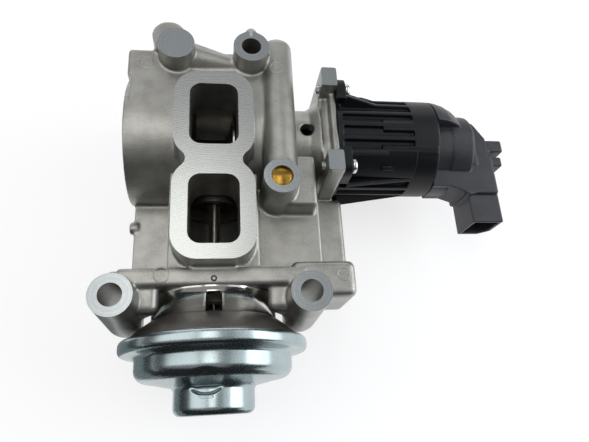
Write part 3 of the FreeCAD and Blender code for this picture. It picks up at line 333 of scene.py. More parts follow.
def copy_of(node, name, body, material, angle=32.0):
    """A node's own shape as a smoothly shaded piece."""
    return link_piece(name, covered(merged_copy(node), material, angle), body, node)


def points_of(mesh):
    """The mesh's points as an array, one row for each."""
    points = np.empty(len(mesh.vertices) * 3, np.float32)
    mesh.vertices.foreach_get("co", points)
    return points.reshape(-1, 3)


def move_points(mesh, points):
    """The mesh's points go to the rows of the array."""
    mesh.vertices.foreach_set("co", points.ravel().astype(np.float32))
    mesh.update()


# %% [markdown]
# A surface worked out on a grid needs only its array of points; which four points make a face
# always follows the same count. Arcs and straights joined end to end give the outlines.

# %% Grid helpers
def finished_mesh(name, points, quads):
    """A mesh from arrays of points and four-cornered faces: seams and poles are merged and
    every face is turned outwards."""
    mesh = bpy.data.meshes.new(name)
    mesh.from_pydata(points.tolist(), [], quads.tolist())
    shape = bmesh.new()
    shape.from_mesh(mesh)
    bmesh.ops.remove_doubles(shape, verts=shape.verts, dist=1e-6)
    bmesh.ops.dissolve_degenerate(shape, edges=shape.edges, dist=1e-7)
    bmesh.ops.recalc_face_normals(shape, faces=shape.faces)
    shape.to_mesh(mesh)
    shape.free()
    return mesh


def grid_quads(rows, columns, wrap_rows=False, wrap_columns=False):
    """Faces of a grid of points, numbered row by row; a wrapped side meets its start again."""
    r = np.arange(rows if wrap_rows else rows - 1)
    c = np.arange(columns if wrap_columns else columns - 1)
    r, c = np.meshgrid(r, c, indexing="ij")
    r2, c2 = (r + 1) % rows, (c + 1) % columns
    corners = [r * columns + c, r * columns + c2, r2 * columns + c2, r2 * columns + c]
    return np.stack(corners, axis=-1).reshape(-1, 4)


def arc(centre, radius, start, end, count):
    """Points of a circle about (along, out) from one angle to another; 0 points along the axis,
    90 away from it."""
    turns = np.radians(np.linspace(start, end, count))
    return np.stack([centre[0] + radius * np.cos(turns), centre[1] + radius * np.sin(turns)], 1)


# %% [markdown]
# ## Finishes
# A single colour never looks like metal or plastic. Every finish has three scales: a slow drift
# of colour, a fine grain in the roughness, and a bump that breaks up the reflections. The bevel
# node rounds the shading at edges by a fraction of a millimetre, because no moulded or cut edge
# is perfectly sharp. One function makes them all, so that they stay a family.

# %% Base finish
finishes = {}


def finish(name, colour, metallic=0.0, roughness=0.5, drift=0.12, drift_scale=160.0,
           grain_scale=2600.0, bump=0.1, bump_depth=0.02, edge=0.0, uneven=0.08, stretch=(1, 1, 1),
           **fixed):
    """A principled shader: colour drifts by the share drift, roughness by uneven, and a grain
    of bump_depth millimetres lies on it. edge is the bevel's radius in millimetres, and fixed
    are sockets that are the same all over. The material is kept in finishes under its name."""
    material = bpy.data.materials.new(name)
    material.use_nodes = True
    tree = material.node_tree
    shader = tree.nodes["Principled BSDF"]
    place = put(tree, "ShaderNodeTexCoord").outputs["Object"]
    drawn = put(tree, "ShaderNodeMapping", {"Vector": place, "Scale": stretch}).outputs[0]
    slow = span(tree, speckle(tree, drawn, drift_scale), 0.3, 0.7)
    fine = speckle(tree, drawn, grain_scale)
    low = tuple(c * (1 - drift) for c in colour)
    high = tuple(min(1.0, c * (1 + drift)) for c in colour)
    tree.links.new(blend_of(tree, slow, low, high), shader.inputs["Base Color"])
    shader.inputs["Metallic"].default_value = metallic
    tree.links.new(span(tree, fine, 0.3, 0.7, roughness - uneven, roughness + uneven),
                   shader.inputs["Roughness"])
    inputs = {"Height": fine, "Strength": bump, "Distance": bump_depth * mm}
    if edge:
        inputs["Normal"] = put(tree, "ShaderNodeBevel", {"Radius": edge * mm}, samples=4).outputs[0]
    tree.links.new(put(tree, "ShaderNodeBump", inputs).outputs[0], shader.inputs["Normal"])
    for socket, value in fixed.items():
        shader.inputs[socket.replace("_", " ").title().replace("Ior", "IOR")].default_value = value
    finishes[name] = material
    return material


# %% [markdown]
# The visible finishes were matched to the photograph: near-black plastic with a soft shine, a
# greyer cover, bright zinc on the cap, dull zinc on the coned case and turned steel on the
# collar. The hidden ones are what such parts are usually made of.

# %% Finishes by name
finish("black_plastic", (0.004, 0.0045, 0.006), roughness=0.40, drift=0.2, grain_scale=4200,
       bump=0.25, bump_depth=0.03, edge=0.35, ior=1.36)
finish("grey_plastic", (0.034, 0.034, 0.042), roughness=0.40, drift=0.2, grain_scale=4200,
       bump=0.2, bump_depth=0.03, edge=0.4, ior=1.45)
finish("zinc", (0.395, 0.465, 0.48), 1.0, 0.25, drift=0.10, drift_scale=70, bump=0.06,
       bump_depth=0.02, uneven=0.04)
finish("dull_zinc", (0.17, 0.16, 0.145), 0.8, 0.40, drift=0.12, bump=0.3, bump_depth=0.02)
finish("turned_steel", (0.66, 0.65, 0.62), 1.0, 0.15, drift=0.1, grain_scale=900, bump=0.2,
       bump_depth=0.02, edge=0.2, stretch=(0.25, 6, 0.25))
finish("screw_zinc", (0.66, 0.67, 0.66), 1.0, 0.22, edge=0.15)
finish("stainless", (0.55, 0.54, 0.51), 1.0, 0.26, edge=0.1, stretch=(6, 0.4, 0.4))
finish("stainless_y", (0.60, 0.58, 0.53), 1.0, 0.22, edge=0.1, stretch=(0.4, 6, 0.4))
# steel darkened to a deep grey, for the bypass disc and seat seen down the port and for hidden
# seats
finish("dark_grey_steel", (0.16, 0.15, 0.135), 1.0, 0.42, drift=0.25, edge=0.2)
finish("spring_steel", (0.42, 0.41, 0.40), 1.0, 0.3)
finish("core_steel", (0.30, 0.31, 0.33), 1.0, 0.35, grain_scale=2400, bump=0.6, bump_depth=0.05,
       stretch=(8, 0.1, 0.1))
finish("ferrite", (0.05, 0.05, 0.055), 0.2, 0.55, bump=0.3)
finish("copper_wire", (0.62, 0.22, 0.08), 1.0, 0.28, grain_scale=1800, bump=0.8, bump_depth=0.08,
       stretch=(0.3, 3, 3))
finish("copper_bar", (0.80, 0.38, 0.22), 1.0, 0.3)
finish("bronze", (0.50, 0.30, 0.13), 1.0, 0.42, drift=0.2, bump=0.4)
# near-black carbon for the brushes, also used as painted shade on the small ring of the front wall
finish("carbon", (0.025, 0.025, 0.025), 0.1, 0.5)
finish("rubber", (0.012, 0.012, 0.012), 0.0, 0.6, bump=0.3)
finish("fluor_seal", (0.70, 0.68, 0.62), 0.0, 0.5)
finish("tinned_pin", (0.72, 0.71, 0.68), 1.0, 0.25, edge=0.1)
finish("board_green", (0.01, 0.12, 0.05), 0.0, 0.35, coat_weight=0.5)
finish("holder_plastic", (0.10, 0.05, 0.03), 0.0, 0.45)
print("finishes", len(finishes))

# %% [markdown]
# The housing is one casting with a few cut faces. Each face could be its own piece with its own
# material, but here one finish finds them by their height and by facing up. These are the
# places, in millimetres: the gasket face, the five spot faces, the motor plate's tabs, and the
# middle about which the large face mill turned. The drawing of the real part is not at hand, so
# they are the solid's own measures.

# %% Places of the cut faces
gasket_half_x, gasket_half_y = 20, 44
plug_x, plug_y, plug_face_z = 28.9, -5.1, -4.5
plate_left_x, tab_face_z = 50.0, -10.0
motor_y, motor_z = 28.35, -38.0
lower_bolt_x, lower_bolt_y, upper_bolt_x, upper_bolt_y = 37.56, -56.4, 16.9, 58.1
face_mill_x, face_mill_y, mill_pitch = 6, -78, 0.80
ring_scale = 2600
spot_faces = [(-lower_bolt_x, lower_bolt_y), (lower_bolt_x, lower_bolt_y),
              (upper_bolt_x, upper_bolt_y), (-upper_bolt_x, upper_bolt_y), (plug_x, plug_y)]
print("spot faces", spot_faces)

# %% [markdown]
# A shader can't ask which face it is on, but it knows its place and the way it faces. From
# these, sums and comparisons give two masks that are 1 on the gasket face and on the bosses.

# %% Masks of the cut faces
def product(tree, first, second):
    """The product of two masks, or of a value and a share."""
    return sum_of(tree, "MULTIPLY", first, second)


def one_of(tree, kind, value):
    """A Math node of that kind on one value."""
    return put(tree, "ShaderNodeMath", {0: value}, operation=kind).outputs[0]


def at_height(tree, height, level):
    """1 within 0.12 mm of the level, else 0."""
    inputs = {0: height, 1: level * mm, 2: 0.12 * mm}
    return put(tree, "ShaderNodeMath", inputs, operation="COMPARE").outputs[0]


def cut_masks(tree, axes):
    """The gasket face is at height zero and within its half sizes. A boss is anything else at
    height zero, and what faces up at the height of the plug's face or of the motor's tabs."""
    normal = put(tree, "ShaderNodeNewGeometry").outputs["Normal"]
    facing = put(tree, "ShaderNodeSeparateXYZ", {0: normal}).outputs[2]
    flat = span(tree, facing, 0.97, 0.99)
    top = product(tree, flat, span(tree, axes[2], -0.10 * mm, -0.03 * mm))
    side, rear = one_of(tree, "ABSOLUTE", axes[0]), one_of(tree, "ABSOLUTE", axes[1])
    within = product(tree, sum_of(tree, "LESS_THAN", side, gasket_half_x * mm),
                     sum_of(tree, "LESS_THAN", rear, gasket_half_y * mm))
    gasket = product(tree, top, within)
    on_plate = sum_of(tree, "GREATER_THAN", axes[0], (plate_left_x + 0.8) * mm)
    tab_face = product(tree, at_height(tree, axes[2], tab_face_z), on_plate)
    others = sum_of(tree, "MAXIMUM", at_height(tree, axes[2], plug_face_z), tab_face)
    at_zero = sum_of(tree, "SUBTRACT", top, gasket)
    return gasket, sum_of(tree, "MAXIMUM", at_zero, product(tree, flat, others))


# %% [markdown]
# Cutters leave rings. Noise along the distance from the middle of the cut draws them without
# any picture: it only changes from one ring to the next. The face mill's middle lies beyond
# the gasket face, so its rings cross that face as wide arcs.

# %% Cut marks
def distance(tree, place, middle):
    """How far the place is from the middle, in metres."""
    node = put(tree, "ShaderNodeVectorMath", {0: place, 1: middle}, operation="DISTANCE")
    return node.outputs["Value"]


def ring_noise(tree, away, scale):
    """Noise that changes only with the distance from a middle."""
    return speckle(tree, put(tree, "ShaderNodeCombineXYZ", {0: away}).outputs[0], scale, 2)


def face_mill_marks(tree, place):
    """Half a sine wave of the mill's pitch along the distance from its middle, plus 1.6 times
    the fine rings there. The fine rings alone are given as well."""
    wobble = product(tree, speckle(tree, place, 40, 1), 0.4 * mm)
    mill_middle = (face_mill_x * mm, face_mill_y * mm, 0)
    away = sum_of(tree, "ADD", distance(tree, place, mill_middle), wobble)
    arcs = one_of(tree, "SINE", product(tree, away, 2 * math.pi / (mill_pitch * mm)))
    rings = ring_noise(tree, away, ring_scale)
    return sum_of(tree, "ADD", product(tree, arcs, 0.5), product(tree, rings, 1.6)), rings


def spot_face_rings(tree, place, height):
    """Rings round the nearest spot face's middle."""
    nearest = 1.0
    for x, y in spot_faces:
        middle = put(tree, "ShaderNodeCombineXYZ", {0: x * mm, 1: y * mm, 2: height}).outputs[0]
        nearest = sum_of(tree, "MINIMUM", nearest, distance(tree, place, middle))
    return ring_noise(tree, nearest, ring_scale)


# %% [markdown]
# As it left the die the metal is matt, warm grey, with cloudy flow marks and a fine mottle. The
# masks then lay the bright cut metal over it. Two materials on two sets of faces would need the
# skin's faces sorted; masks need no sorting and give the edge of the cut to within a pixel. The
# three bumps are chained, and each is turned up or down by a mask.

# %% Cast aluminium
def cast_aluminium():
    """Colour, metalness, roughness and bump each go from cast to cut metal with the masks."""
    material = bpy.data.materials.new("cast_aluminium")
    material.use_nodes = True
    tree = material.node_tree
    shader = tree.nodes["Principled BSDF"]
    place = put(tree, "ShaderNodeTexCoord").outputs["Object"]
    axes = put(tree, "ShaderNodeSeparateXYZ", {0: place}).outputs
    gasket, boss = cut_masks(tree, axes)
    machined = sum_of(tree, "MAXIMUM", boss, gasket)
    cutter, lines = face_mill_marks(tree, place)
    turning = spot_face_rings(tree, place, axes[2])
    sparkle = sum_of(tree, "ADD", speckle(tree, place, 5200, 2), product(tree, turning, 1.6))
    fine = speckle(tree, place, 2300, 4)

    cloud = span(tree, speckle(tree, place, 120, 5), 0.32, 0.68)
    mottle = span(tree, speckle(tree, place, 1300, 3), 0.3, 0.7)
    cast = blend_of(tree, cloud, (0.265, 0.262, 0.247), (0.395, 0.392, 0.368))
    cast = blend_of(tree, product(tree, mottle, 0.5), cast, (0.45, 0.44, 0.41))
    shine = span(tree, turning, 0.35, 0.65)
    spot = blend_of(tree, shine, (0.33, 0.36, 0.375), (0.43, 0.455, 0.46))
    groove = span(tree, cutter, -0.4, 1.5)
    cut_metal = blend_of(tree, groove, (0.36, 0.375, 0.37), (0.50, 0.515, 0.50))
    colour = blend_of(tree, gasket, blend_of(tree, boss, cast, spot), cut_metal)
    tree.links.new(colour, shader.inputs["Base Color"])
    tree.links.new(span(tree, machined, 0, 1, 0.88, 1.0), shader.inputs["Metallic"])

    rough = span(tree, fine, 0.3, 0.7, 0.29, 0.43)
    rough = put(tree, "ShaderNodeMix", {0: boss, 2: rough, 3: 0.27}).outputs[0]
    smooth = span(tree, lines, 0.3, 0.7, 0.22, 0.32)
    rough = put(tree, "ShaderNodeMix", {0: gasket, 2: rough, 3: smooth}).outputs[0]
    tree.links.new(rough, shader.inputs["Roughness"])

    grain = put(tree, "ShaderNodeBump",
                {"Height": fine, "Distance": 0.13 * mm,
                 "Strength": span(tree, machined, 0, 1, 0.75, 0.05)}).outputs[0]
    spots = put(tree, "ShaderNodeBump",
                {"Height": sparkle, "Distance": 0.03 * mm, "Normal": grain,
                 "Strength": span(tree, boss, 0, 1, 0.0, 0.22)}).outputs[0]
    cuts = put(tree, "ShaderNodeBump",
               {"Height": cutter, "Distance": 0.006 * mm, "Normal": spots,
                "Strength": span(tree, gasket, 0, 1, 0.0, 0.8)}).outputs[0]
    tree.links.new(cuts, shader.inputs["Normal"])
    return material


finishes["cast_aluminium"] = cast_aluminium()
print("cast aluminium nodes", len(finishes["cast_aluminium"].node_tree.nodes))

# %% [markdown]
# The brass plug was turned on a lathe, so its face carries fine rings round its own middle. It
# is an ordinary finish whose bump is replaced by such rings.

# %% Turned brass
def turned_brass(centre_x, centre_y):
    """Brass whose bump is noise along the distance from the plug's axis."""
    material = finish("turned_brass", (0.36, 0.21, 0.04), 1.0, 0.22, drift=0.15, drift_scale=500)
    tree = material.node_tree
    place = put(tree, "ShaderNodeTexCoord").outputs["Object"]
    flat = put(tree, "ShaderNodeVectorMath", {0: place, 1: (1, 1, 0)}, operation="MULTIPLY")
    middle = (centre_x * mm, centre_y * mm, 0)
    rings = ring_noise(tree, distance(tree, flat.outputs[0], middle), 2400)
    bump = put(tree, "ShaderNodeBump", {"Height": rings, "Strength": 0.7, "Distance": 0.08 * mm})
    tree.links.new(bump.outputs[0], tree.nodes["Principled BSDF"].inputs["Normal"])


turned_brass(plug_x, plug_y)
print("finishes", len(finishes))

# %% [markdown]
# ## Housing
# A die casting has no knife-sharp corner: the die is drawn with fillets where forms meet.
# Rounding hundreds of edges one by one would be slow, so the solid's triangles are remade as an
# even skin of small cells, which is then relaxed a few times. Flat and round areas keep their
# place while every corner turns soft, inner corners too.

# %% Housing skin
def relaxed(mesh, rounds, pull):
    """Each point moves the share pull towards the middle of its neighbours, rounds times."""
    count = len(mesh.vertices)
    points = points_of(mesh).astype(float)
    edges = np.empty(len(mesh.edges) * 2, np.int32)
    mesh.edges.foreach_get("vertices", edges)
    a, b = edges.reshape(-1, 2).T
    degree = np.bincount(a, minlength=count) + np.bincount(b, minlength=count)
    for _ in range(rounds):
        for axis in range(3):
            value = points[:, axis]
            total = np.bincount(a, value[b], count) + np.bincount(b, value[a], count)
            points[:, axis] = value + pull * (total / degree - value)
    move_points(mesh, points)


def applied(mesh, kind, **settings):
    """The mesh as a modifier of that kind leaves it."""
    worker = bpy.data.objects.new("worker", mesh)
    bpy.context.scene.collection.objects.link(worker)
    modifier = worker.modifiers.new("step", kind)
    for field, value in settings.items():
        setattr(modifier, field, value)
    ready = worker.evaluated_get(bpy.context.evaluated_depsgraph_get())
    result = bpy.data.meshes.new_from_object(ready)
    bpy.data.objects.remove(worker)
    return result


# %% [markdown]
# The foundry leaves stock where a face will be milled, and the mill then cuts a sharp outline
# through the soft casting. The same order is used here, because a relaxed skin has lost its
# sharp outlines. First the milled faces are raised. Three small functions say in which region
# of the plan each height is milled.

# %% Stock for the mill
plug_boss_r, tab_inner_half = 10.0, 16.0


def everywhere(x, y):
    """No point is left out."""
    return np.full(x.shape, True)


def near_plug(x, y):
    """Points of the plug's boss."""
    return np.hypot(x - plug_x, y - plug_y) < plug_boss_r


def motor_tabs(x, y):
    """Points of the motor plate on either side of the motor."""
    return (x > plate_left_x) & (np.abs(y - motor_y) > tab_inner_half)


milled_faces = [(0.0, everywhere), (plug_face_z, near_plug), (tab_face_z, motor_tabs)]
stock = 1.4


def with_stock(mesh):
    """Points on a milled face move up by the stock."""
    points = points_of(mesh)
    x, y, z = points.T / mm
    for height, region in milled_faces:
        points[(np.abs(z - height) < 0.02) & region(x, y), 2] += stock * mm
    move_points(mesh, points)
    return mesh


# %% [markdown]
# After the relaxing, a plane cuts the stock off again and the opening is closed with a flat
# face. Only faces of the height's own region are cut, so that higher forms elsewhere stay. A
# Boolean with a block would do it too, but it is slow on so many cells.

# %% Milling
cut_reach = 1.0


def milled(mesh):
    """Everything over each milled plane is cut off and the opening is closed with a flat face."""
    shape = bmesh.new()
    shape.from_mesh(mesh)
    for height, region in milled_faces:
        centres = np.array([f.calc_center_median() for f in shape.faces]) / mm
        chosen = region(centres[:, 0], centres[:, 1]) & (centres[:, 2] > height - cut_reach)
        shape.faces.ensure_lookup_table()
        faces = [shape.faces[k] for k in np.flatnonzero(chosen)]
        geometry = dict.fromkeys(faces)  # keeps its order, so every run gives the same mesh
        for face in faces:
            geometry.update(dict.fromkeys([*face.edges, *face.verts]))
        bmesh.ops.bisect_plane(shape, geom=list(geometry), dist=1e-7, plane_co=(0, 0, height * mm),
                               plane_no=(0, 0, 1), clear_outer=True)
        rim = [e for e in shape.edges if e.is_boundary]
        filled = bmesh.ops.triangle_fill(shape, use_beauty=True, use_dissolve=False, edges=rim,
                                         normal=(0, 0, 1))
        new_faces = [f for f in filled["geom"] if isinstance(f, bmesh.types.BMFace)]
        for face in new_faces:
            if face.normal.z < 0:
                face.normal_flip()
        print("milled at", height, "faces", len(new_faces), "open edges left",
              sum(e.is_boundary for e in shape.edges))
    shape.to_mesh(mesh)
    shape.free()
    return mesh


# %% [markdown]
# `soft_skin` is the whole recipe: small cells, a few rounds of relaxing, and then only as many
# triangles as the shape needs. The width of the cells sets how round the corners get: those of
# the casting are the widest.

# %% Housing
def soft_skin(mesh, cell, rounds, most):
    """The mesh as an even skin of cells that many millimetres wide, with round edges."""
    mesh = applied(mesh, "REMESH", mode="VOXEL", voxel_size=cell * mm)
    relaxed(mesh, rounds, 0.5)
    mesh = applied(mesh, "TRIANGULATE")
    return applied(mesh, "DECIMATE", ratio=min(1.0, most / len(mesh.polygons)))


skin = milled(soft_skin(with_stock(merged_copy("valve_housing")), 0.62, 3, 186000))
covered(skin, finishes["cast_aluminium"], 50)
link_piece("housing_casting", skin, "valve_body", "valve_housing")
print("housing triangles", len(skin.polygons))

# %% [markdown]
# The pins that push a casting out of its die leave faint rings. A bump could draw them, but a
# real ridge also shows in the exported mesh. Each is a low rounded ridge that follows the
# surface it lies on.

# %% Ejector marks
column_x, column_r, column_z = 29.7, 7.6, -13.1
ring_width, ring_rise, pin_rise, ring_foot = 0.7, 0.13, 0.2, 0.03


def flat_at(height):
    """A level surface of that height."""
    return lambda x, y: np.full(x.shape, height)


def on_column(x, y):
    """Height of the half-round column: its axis height plus the root of r^2 - x^2."""
    return column_z + np.sqrt(column_r ** 2 - (x - column_x) ** 2)


def ridge_ring(x0, y0, radius, rise, surface, steps=64, across=7):
    """x = x0 + (radius + w) * cosine, y likewise with the sine, and z = surface + rise * (1 -
    (2w / width)^2), with w from minus to plus half the width; the feet lie just below."""
    turn = np.linspace(0, 2 * math.pi, steps, endpoint=False)[:, None]
    w = np.linspace(-ring_width / 2, ring_width / 2, across)[None, :]
    x = x0 + (radius + w) * np.cos(turn)
    y = y0 + (radius + w) * np.sin(turn)
    z = surface(x, y) + rise * (1 - (2 * w / ring_width) ** 2) - ring_foot
    top = np.stack([x, y, z], -1)
    under = np.stack([x, y, z - 0.25], -1)[:, ::-1]
    ring = np.concatenate([top, under], 1)
    return ring.reshape(-1, 3), grid_quads(steps, 2 * across, True, True)


def rings_piece(name, rings, material):
    """All the rings as one mesh, with their faces numbered on."""
    points, quads, count = [], [], 0
    for ring_points, ring_quads in rings:
        points.append(ring_points)
        quads.append(ring_quads + count)
        count += len(ring_points)
    mesh = finished_mesh(name, np.concatenate(points) * mm, np.concatenate(quads))
    return link_piece(name, covered(mesh, material, 80), "valve_body")


# %% [markdown]
# Three rings lie on flat tops and one over the half-round column. A small ring on the front
# wall is near-black: painted shade of a small recess there.

# %% Marks on the casting
ejector_rings = [
    ridge_ring(-31.0, 54.4, 3.0, ring_rise, flat_at(-9.9)),
    ridge_ring(28.5, 51.3, 2.9, ring_rise, on_column),
    ridge_ring(-20.6, -46.6, 3.0, ring_rise, flat_at(-10.0)),
    ridge_ring(53.3, -47.3, 2.6, ring_rise, flat_at(-10.6)),
]
rings_piece("ejector_marks", ejector_rings, finishes["cast_aluminium"])
# painted shade: this ring's near-black colour stands in for the shade of a small recess
painted_shade_rings = [ridge_ring(0.0, -48.3, 0.95, pin_rise, flat_at(-10.0))]
rings_piece("front_wall_shade_ring", painted_shade_rings, finishes["carbon"])
print("rings", len(ejector_rings), len(painted_shade_rings))

# %% [markdown]
# ## Vacuum actuator
# The cap is one sheet pressed into a stepped cup whose edge is rolled over the coned case. Its
# outline is a chain of short straights and arcs. Turned about the bypass axis it gives the
# outer face, and the same chain moved in by the sheet's thickness gives the inner one.

# %% Outline of the cap
bypass_z = -38.0
sheet = 1.2
rim_y, rim_r = -73.2, 39.95
bead_y, bead_half = -72.25, 3.05
cap_r, shoulder_y, shoulder_r = 33.2, -85.8, 5.0
small_r, small_end_y, small_edge_r, root_r, dish = 17.0, -99.2, 3.0, 2.0, 2.0


def cap_chain(inset):
    """From the cap's wall to its axis: shoulder arc, dished ring, root arc, small cup, end."""
    shoulder = arc((shoulder_y + shoulder_r, cap_r - shoulder_r), shoulder_r - inset, 90, 180, 14)
    root = arc((shoulder_y - dish - root_r, small_r + root_r), root_r + inset, 0, -90, 14)
    wall_y = np.linspace(shoulder_y - dish - root_r, small_end_y + small_edge_r, 24)[1:-1]
    wall = np.stack([wall_y, np.full(wall_y.shape, small_r - inset)], 1)
    edge_middle = (small_end_y + small_edge_r, small_r - small_edge_r)
    edge = arc(edge_middle, small_edge_r - inset, 90, 180, 12)
    return np.concatenate([shoulder, root, wall, edge, [[small_end_y + inset, 0.0]]])


print("cap outline points", len(cap_chain(0.0)))

# %% [markdown]
# A Screw modifier could turn the outline, but as arrays the same points can also be pressed:
# the real cap has a thumb-shaped dent and a short slot over the small cup.

# %% Turning and pressing
def turned_y(name, line, steps, press=None):
    """A closed chain of (y, radius) turned round the bypass axis: x = radius * cosine,
    z = axis height + radius * sine. press may push the points before they are joined."""
    angle = np.linspace(0, 2 * math.pi, steps, endpoint=False)
    radius = line[:, 1][:, None]
    x = radius * np.cos(angle)
    z = bypass_z + radius * np.sin(angle)
    y = np.repeat(line[:, 0][:, None], steps, axis=1)
    if press:
        x, y, z = press(x, y, z)
    points = np.stack([x, y, z], -1).reshape(-1, 3) * mm
    return finished_mesh(name, points, grid_quads(len(line), steps, True, True))


def smooth_step(value):
    """0 below 0, 1 above 1, and 3v^2 - 2v^3 between."""
    v = np.clip(value, 0, 1)
    return v * v * (3 - 2 * v)


def pressed_dent(x, y, z):
    """A thumb-shaped dent at the root of the small cup, and a short slot beyond it, both only on
    the upper side. The dent's depth fades with the distance from its middle, and the slot's as
    a bell curve along Y."""
    dent_x, dent_y, dent_reach, depth = -3.0, -87.4, 7.4, 1.15
    slot_y, slot_width, slot_half, slot_depth = -92.6, 0.55, 3.2, 0.22
    top = smooth_step((z - bypass_z - 9) / 3)
    away = np.hypot(x - dent_x, (y - dent_y) * 1.5)
    dent = depth * smooth_step((dent_reach - away) / 2.4)
    slot = slot_depth * np.exp(-((y - slot_y) / slot_width) ** 2)
    slot = slot * smooth_step(slot_half - np.abs(x - dent_x))
    return x, y, z - top * (dent + slot)


# %% [markdown]
# The rim is rolled round the edge of the coned case, so it bulges like a flattened bead. The
# bead, the cap's outline, the inner face and the lip close to one chain, so that the cap is a
# single closed sheet.

# %% Cap
def rolled_rim():
    """The rim's bead from its lip over the coned case round to the cap's wall. It is a flattened
    circle: along = half * cosine^0.7 and out = half * sine^0.7, each with its sign."""
    bead = arc((0, 0), 1, -8, 180, 34)
    bead = np.sign(bead) * np.abs(bead) ** 0.7 * bead_half + (bead_y, rim_r - bead_half)
    end = bead_y - bead_half
    foot = [[end - 0.35, cap_r + 2.2], [end - 0.75, cap_r + 1.0], [end - 1.35, cap_r + 0.2],
            [end - 2.0, cap_r]]
    return np.concatenate([bead, foot])


outer = np.concatenate([rolled_rim(), cap_chain(0.0)])
lip_y = rim_y - 0.6
lip = [[lip_y, cap_r - sheet], [lip_y, rim_r - bead_half - 1.6]]
chain = np.concatenate([outer, cap_chain(sheet)[::-1], lip])
cap_mesh = turned_y("actuator_cap_sheet", chain, 300, pressed_dent)
covered(cap_mesh, finishes["zinc"], 40)
link_piece("actuator_cap_sheet", cap_mesh, "valve_body", "actuator_cap")
print("cap faces", len(cap_mesh.polygons))

# %% [markdown]
# The coned case carries the cap. It is drawn sheet too, in a duller zinc. A plain cone would
# look too stiff, because a drawn wall bulges a little, so it is turned like the cap from a
# chain with half a wave in it.

# %% Coned case
collar_end_y, collar_bore_r, cone_root_r = -61.0, 23.4, 27.1
cone_rim_y, cone_rim_r, cone_bulge, cone_lip = -71.0, 38.4, 0.8, 5.0


def cone_chain():
    """Outer wall: a straight slope plus half a sine wave of cone_bulge millimetres."""
    share = np.linspace(0, 1, 16)
    y = collar_end_y + (cone_rim_y - collar_end_y) * share
    r = cone_root_r + (cone_rim_r - cone_root_r) * share + cone_bulge * np.sin(math.pi * share)
    wall = np.stack([y, r], 1)
    seat_y = rim_y + 0.55
    seat_r = cone_rim_r - cone_lip
    rim = np.array([[seat_y, cone_rim_r], [seat_y, seat_r], [seat_y + sheet, seat_r]])
    inside = np.stack([y - sheet * 0.7, r - sheet], 1)[::-1][1:]
    inside[-1] = (collar_end_y - sheet, cone_root_r - sheet)
    seat = np.array([[collar_end_y - sheet, collar_bore_r], [collar_end_y, collar_bore_r]])
    return np.concatenate([wall, rim, inside, seat])


case_mesh = turned_y("coned_case_sheet", cone_chain(), 160)
covered(case_mesh, finishes["dull_zinc"], 40)
link_piece("coned_case_sheet", case_mesh, "valve_body", "diaphragm_case")
print("coned case faces", len(case_mesh.polygons))

# %% [markdown]
# ## Motor and sensor cover
# Moulded plastic has slightly round edges too, only finer ones than a casting, and they catch
# the light along every rib. So both mouldings get the same soft skin with smaller cells.

# %% Mouldings
def soft_copy(node, name, material, cell, rounds, most):
    """A fixed node as a soft skin of its own shape."""
    mesh = covered(soft_skin(merged_copy(node), cell, rounds, most), material, 60)
    print(name, "triangles", len(mesh.polygons))
    return link_piece(name, mesh, "valve_body", node)


soft_copy("motor_case", "motor_case_moulding", finishes["black_plastic"], 0.38, 3, 190000)
soft_copy("sensor_cover", "sensor_cover_moulding", finishes["grey_plastic"], 0.33, 3, 150000)

# %% [markdown]
# Between two groups of ribs the motor case has a smooth field. Ribs could be cut away there, but
# a patch laid over them is simpler: a piece of the case's cylinder whose four sides round down
# between the ribs.

# %% Smooth field of the motor case
case_r, rib_foot_r = 24.97, 22.6


def smooth_field(x0, x1, angle0, angle1, edge=1.3):
    """Two parameters, x and the angle: radius = foot + (case - foot) * (1 - (1 - s)^4), where s is
    the distance to the nearest side over the edge's width, at most 1. The same grid at the foot's
    radius closes it from below."""
    ends = [x0 + edge * np.linspace(0, 1, 7), x1 - edge * np.linspace(1, 0, 7)]
    x = np.concatenate(ends)[:, None]
    side = math.degrees(edge / case_r)
    angle = np.concatenate([angle0 + side * np.linspace(0, 1, 7),
                            np.linspace(angle0, angle1, 26)[2:-2],
                            angle1 - side * np.linspace(1, 0, 7)])[None, :]
    along = np.minimum(x - x0, x1 - x) / edge
    round_it = np.radians(np.minimum(angle - angle0, angle1 - angle)) * case_r / edge
    s = np.clip(np.minimum(along, round_it), 0, 1)
    outer = rib_foot_r + (case_r - rib_foot_r) * (1 - (1 - s) ** 4)
    radius = np.concatenate([outer, np.full(outer.shape, rib_foot_r)[::-1]], 0)
    x = np.concatenate([x, x[::-1]], 0) + 0 * radius
    turn = np.radians(np.concatenate([np.repeat(angle, len(outer), 0)] * 2, 0))
    points = np.stack([x, motor_y + radius * np.cos(turn), motor_z + radius * np.sin(turn)], -1)
    return points.reshape(-1, 3) * mm, grid_quads(len(radius), radius.shape[1], True, False)


field_points, field_quads = smooth_field(57.5, 98.0, 121.0, 157.5)
field_mesh = finished_mesh("case_smooth_field", field_points, field_quads)
covered(field_mesh, finishes["black_plastic"], 60)
link_piece("case_smooth_field", field_mesh, "valve_body")
print("smooth field faces", len(field_mesh.polygons))

# %% [markdown]
# ## Small metal parts
# Collar, plug, screws, nipple, stems and discs are turned or drilled, and their solids already
# have the right shape. They only need smooth shading and their own metal.

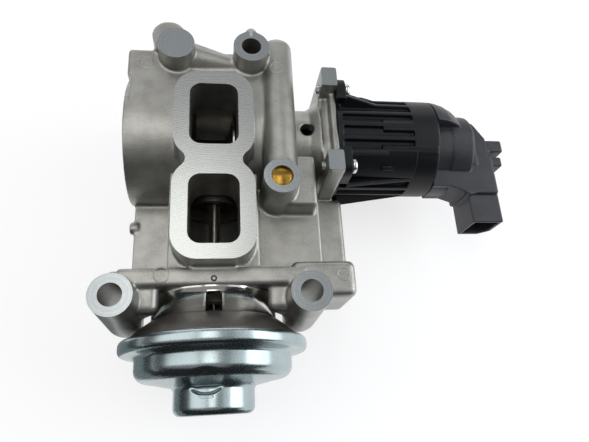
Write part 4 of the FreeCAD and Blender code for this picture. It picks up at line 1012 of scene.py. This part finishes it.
# %% Small metal parts
small_parts = [
    ("actuator_collar", "collar_ring", "valve_body", "turned_steel"),
    ("brass_plug", "plug_disc", "valve_body", "turned_brass"),
    ("motor_screws", "motor_screw_set", "valve_body", "screw_zinc"),
    ("vacuum_nipple", "hose_nipple", "valve_body", "zinc"),
    ("bypass_stem", "bypass_rod", "bypass_valve", "stainless_y"),
    ("bypass_poppet", "bypass_disc", "bypass_valve", "dark_grey_steel"),
    ("bypass_seat", "bypass_seat_ring", "valve_body", "dark_grey_steel"),
    ("main_valve_stem", "main_rod", "main_valve", "stainless"),
    ("inner_poppet", "inner_disc", "main_valve", "stainless"),
    ("outer_poppet", "outer_disc", "main_valve", "stainless"),
]
for node, name, body, finish_name in small_parts:
    copy_of(node, name, body, finishes[finish_name])
print("small metal parts", len(small_parts))

# %% [markdown]
# A spring's coils close up as its valve opens. Each spring here is a smoothly shaded copy with a
# mesh of its own; the middle of its low end along its axis is worked out, but the copy is not
# shortened.

# %% Springs
def working_spring(node, name, axis):
    """A smooth copy of the spring with a mesh of its own; the middle of its low end along the axis
    is worked out but not used.
    """
    spring = copy_of(node, name, "valve_body", finishes["spring_steel"], 60)
    points = points_of(spring.data)
    low, high = points.min(0), points.max(0)
    anchor = ((low + high) / 2).tolist()
    anchor[axis] = float(low[axis])
    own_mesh(spring)


working_spring("return_spring", "return_spring_coil", 0)
working_spring("actuator_spring", "actuator_spring_coil", 1)

# %% [markdown]
# Inside, the solids are fine as they are: nobody sees their edges from outside. They keep their
# own meshes and only get the metal, rubber or plastic they are made of.

# %% Finishes of the hidden solids
hidden = {
    "dark_grey_steel": ["outer_valve_seat", "inner_valve_seat", "stem_shield"],
    "spring_steel": ["retainer_clip", "spring_retainer"],
    "core_steel": ["rotor_core"],
    "copper_wire": ["rotor_windings"],
    "copper_bar": ["commutator"],
    "ferrite": ["field_magnets", "sensor_magnet"],
    "stainless": ["rotor_sleeve", "lead_screw", "bearing_balls", "front_bearing_outer",
                  "front_bearing_inner"],
    "zinc": ["yoke_tube", "diaphragm_plate"],
    "screw_zinc": ["collar_screws", "bearing_plate"],
    "bronze": ["stem_guide_bush", "rear_bush", "bypass_guide_bush"],
    "carbon": ["brushes"],
    "holder_plastic": ["brush_holder"],
    "rubber": ["diaphragm", "case_seal_ring"],
    "fluor_seal": ["stem_seal", "stem_scraper"],
    "board_green": ["sensor_board"],
    "tinned_pin": ["terminal_pins"],
}
for finish_name, members in hidden.items():
    for member in members:
        mesh = nodes[member].data
        mesh.materials.clear()
        mesh.materials.append(finishes[finish_name])
dressed = sum(hidden.values(), [])
bare = [name for name, solid in nodes.items() if not solid.hide_render and name not in dressed]
print("nodes without a finish:", bare)
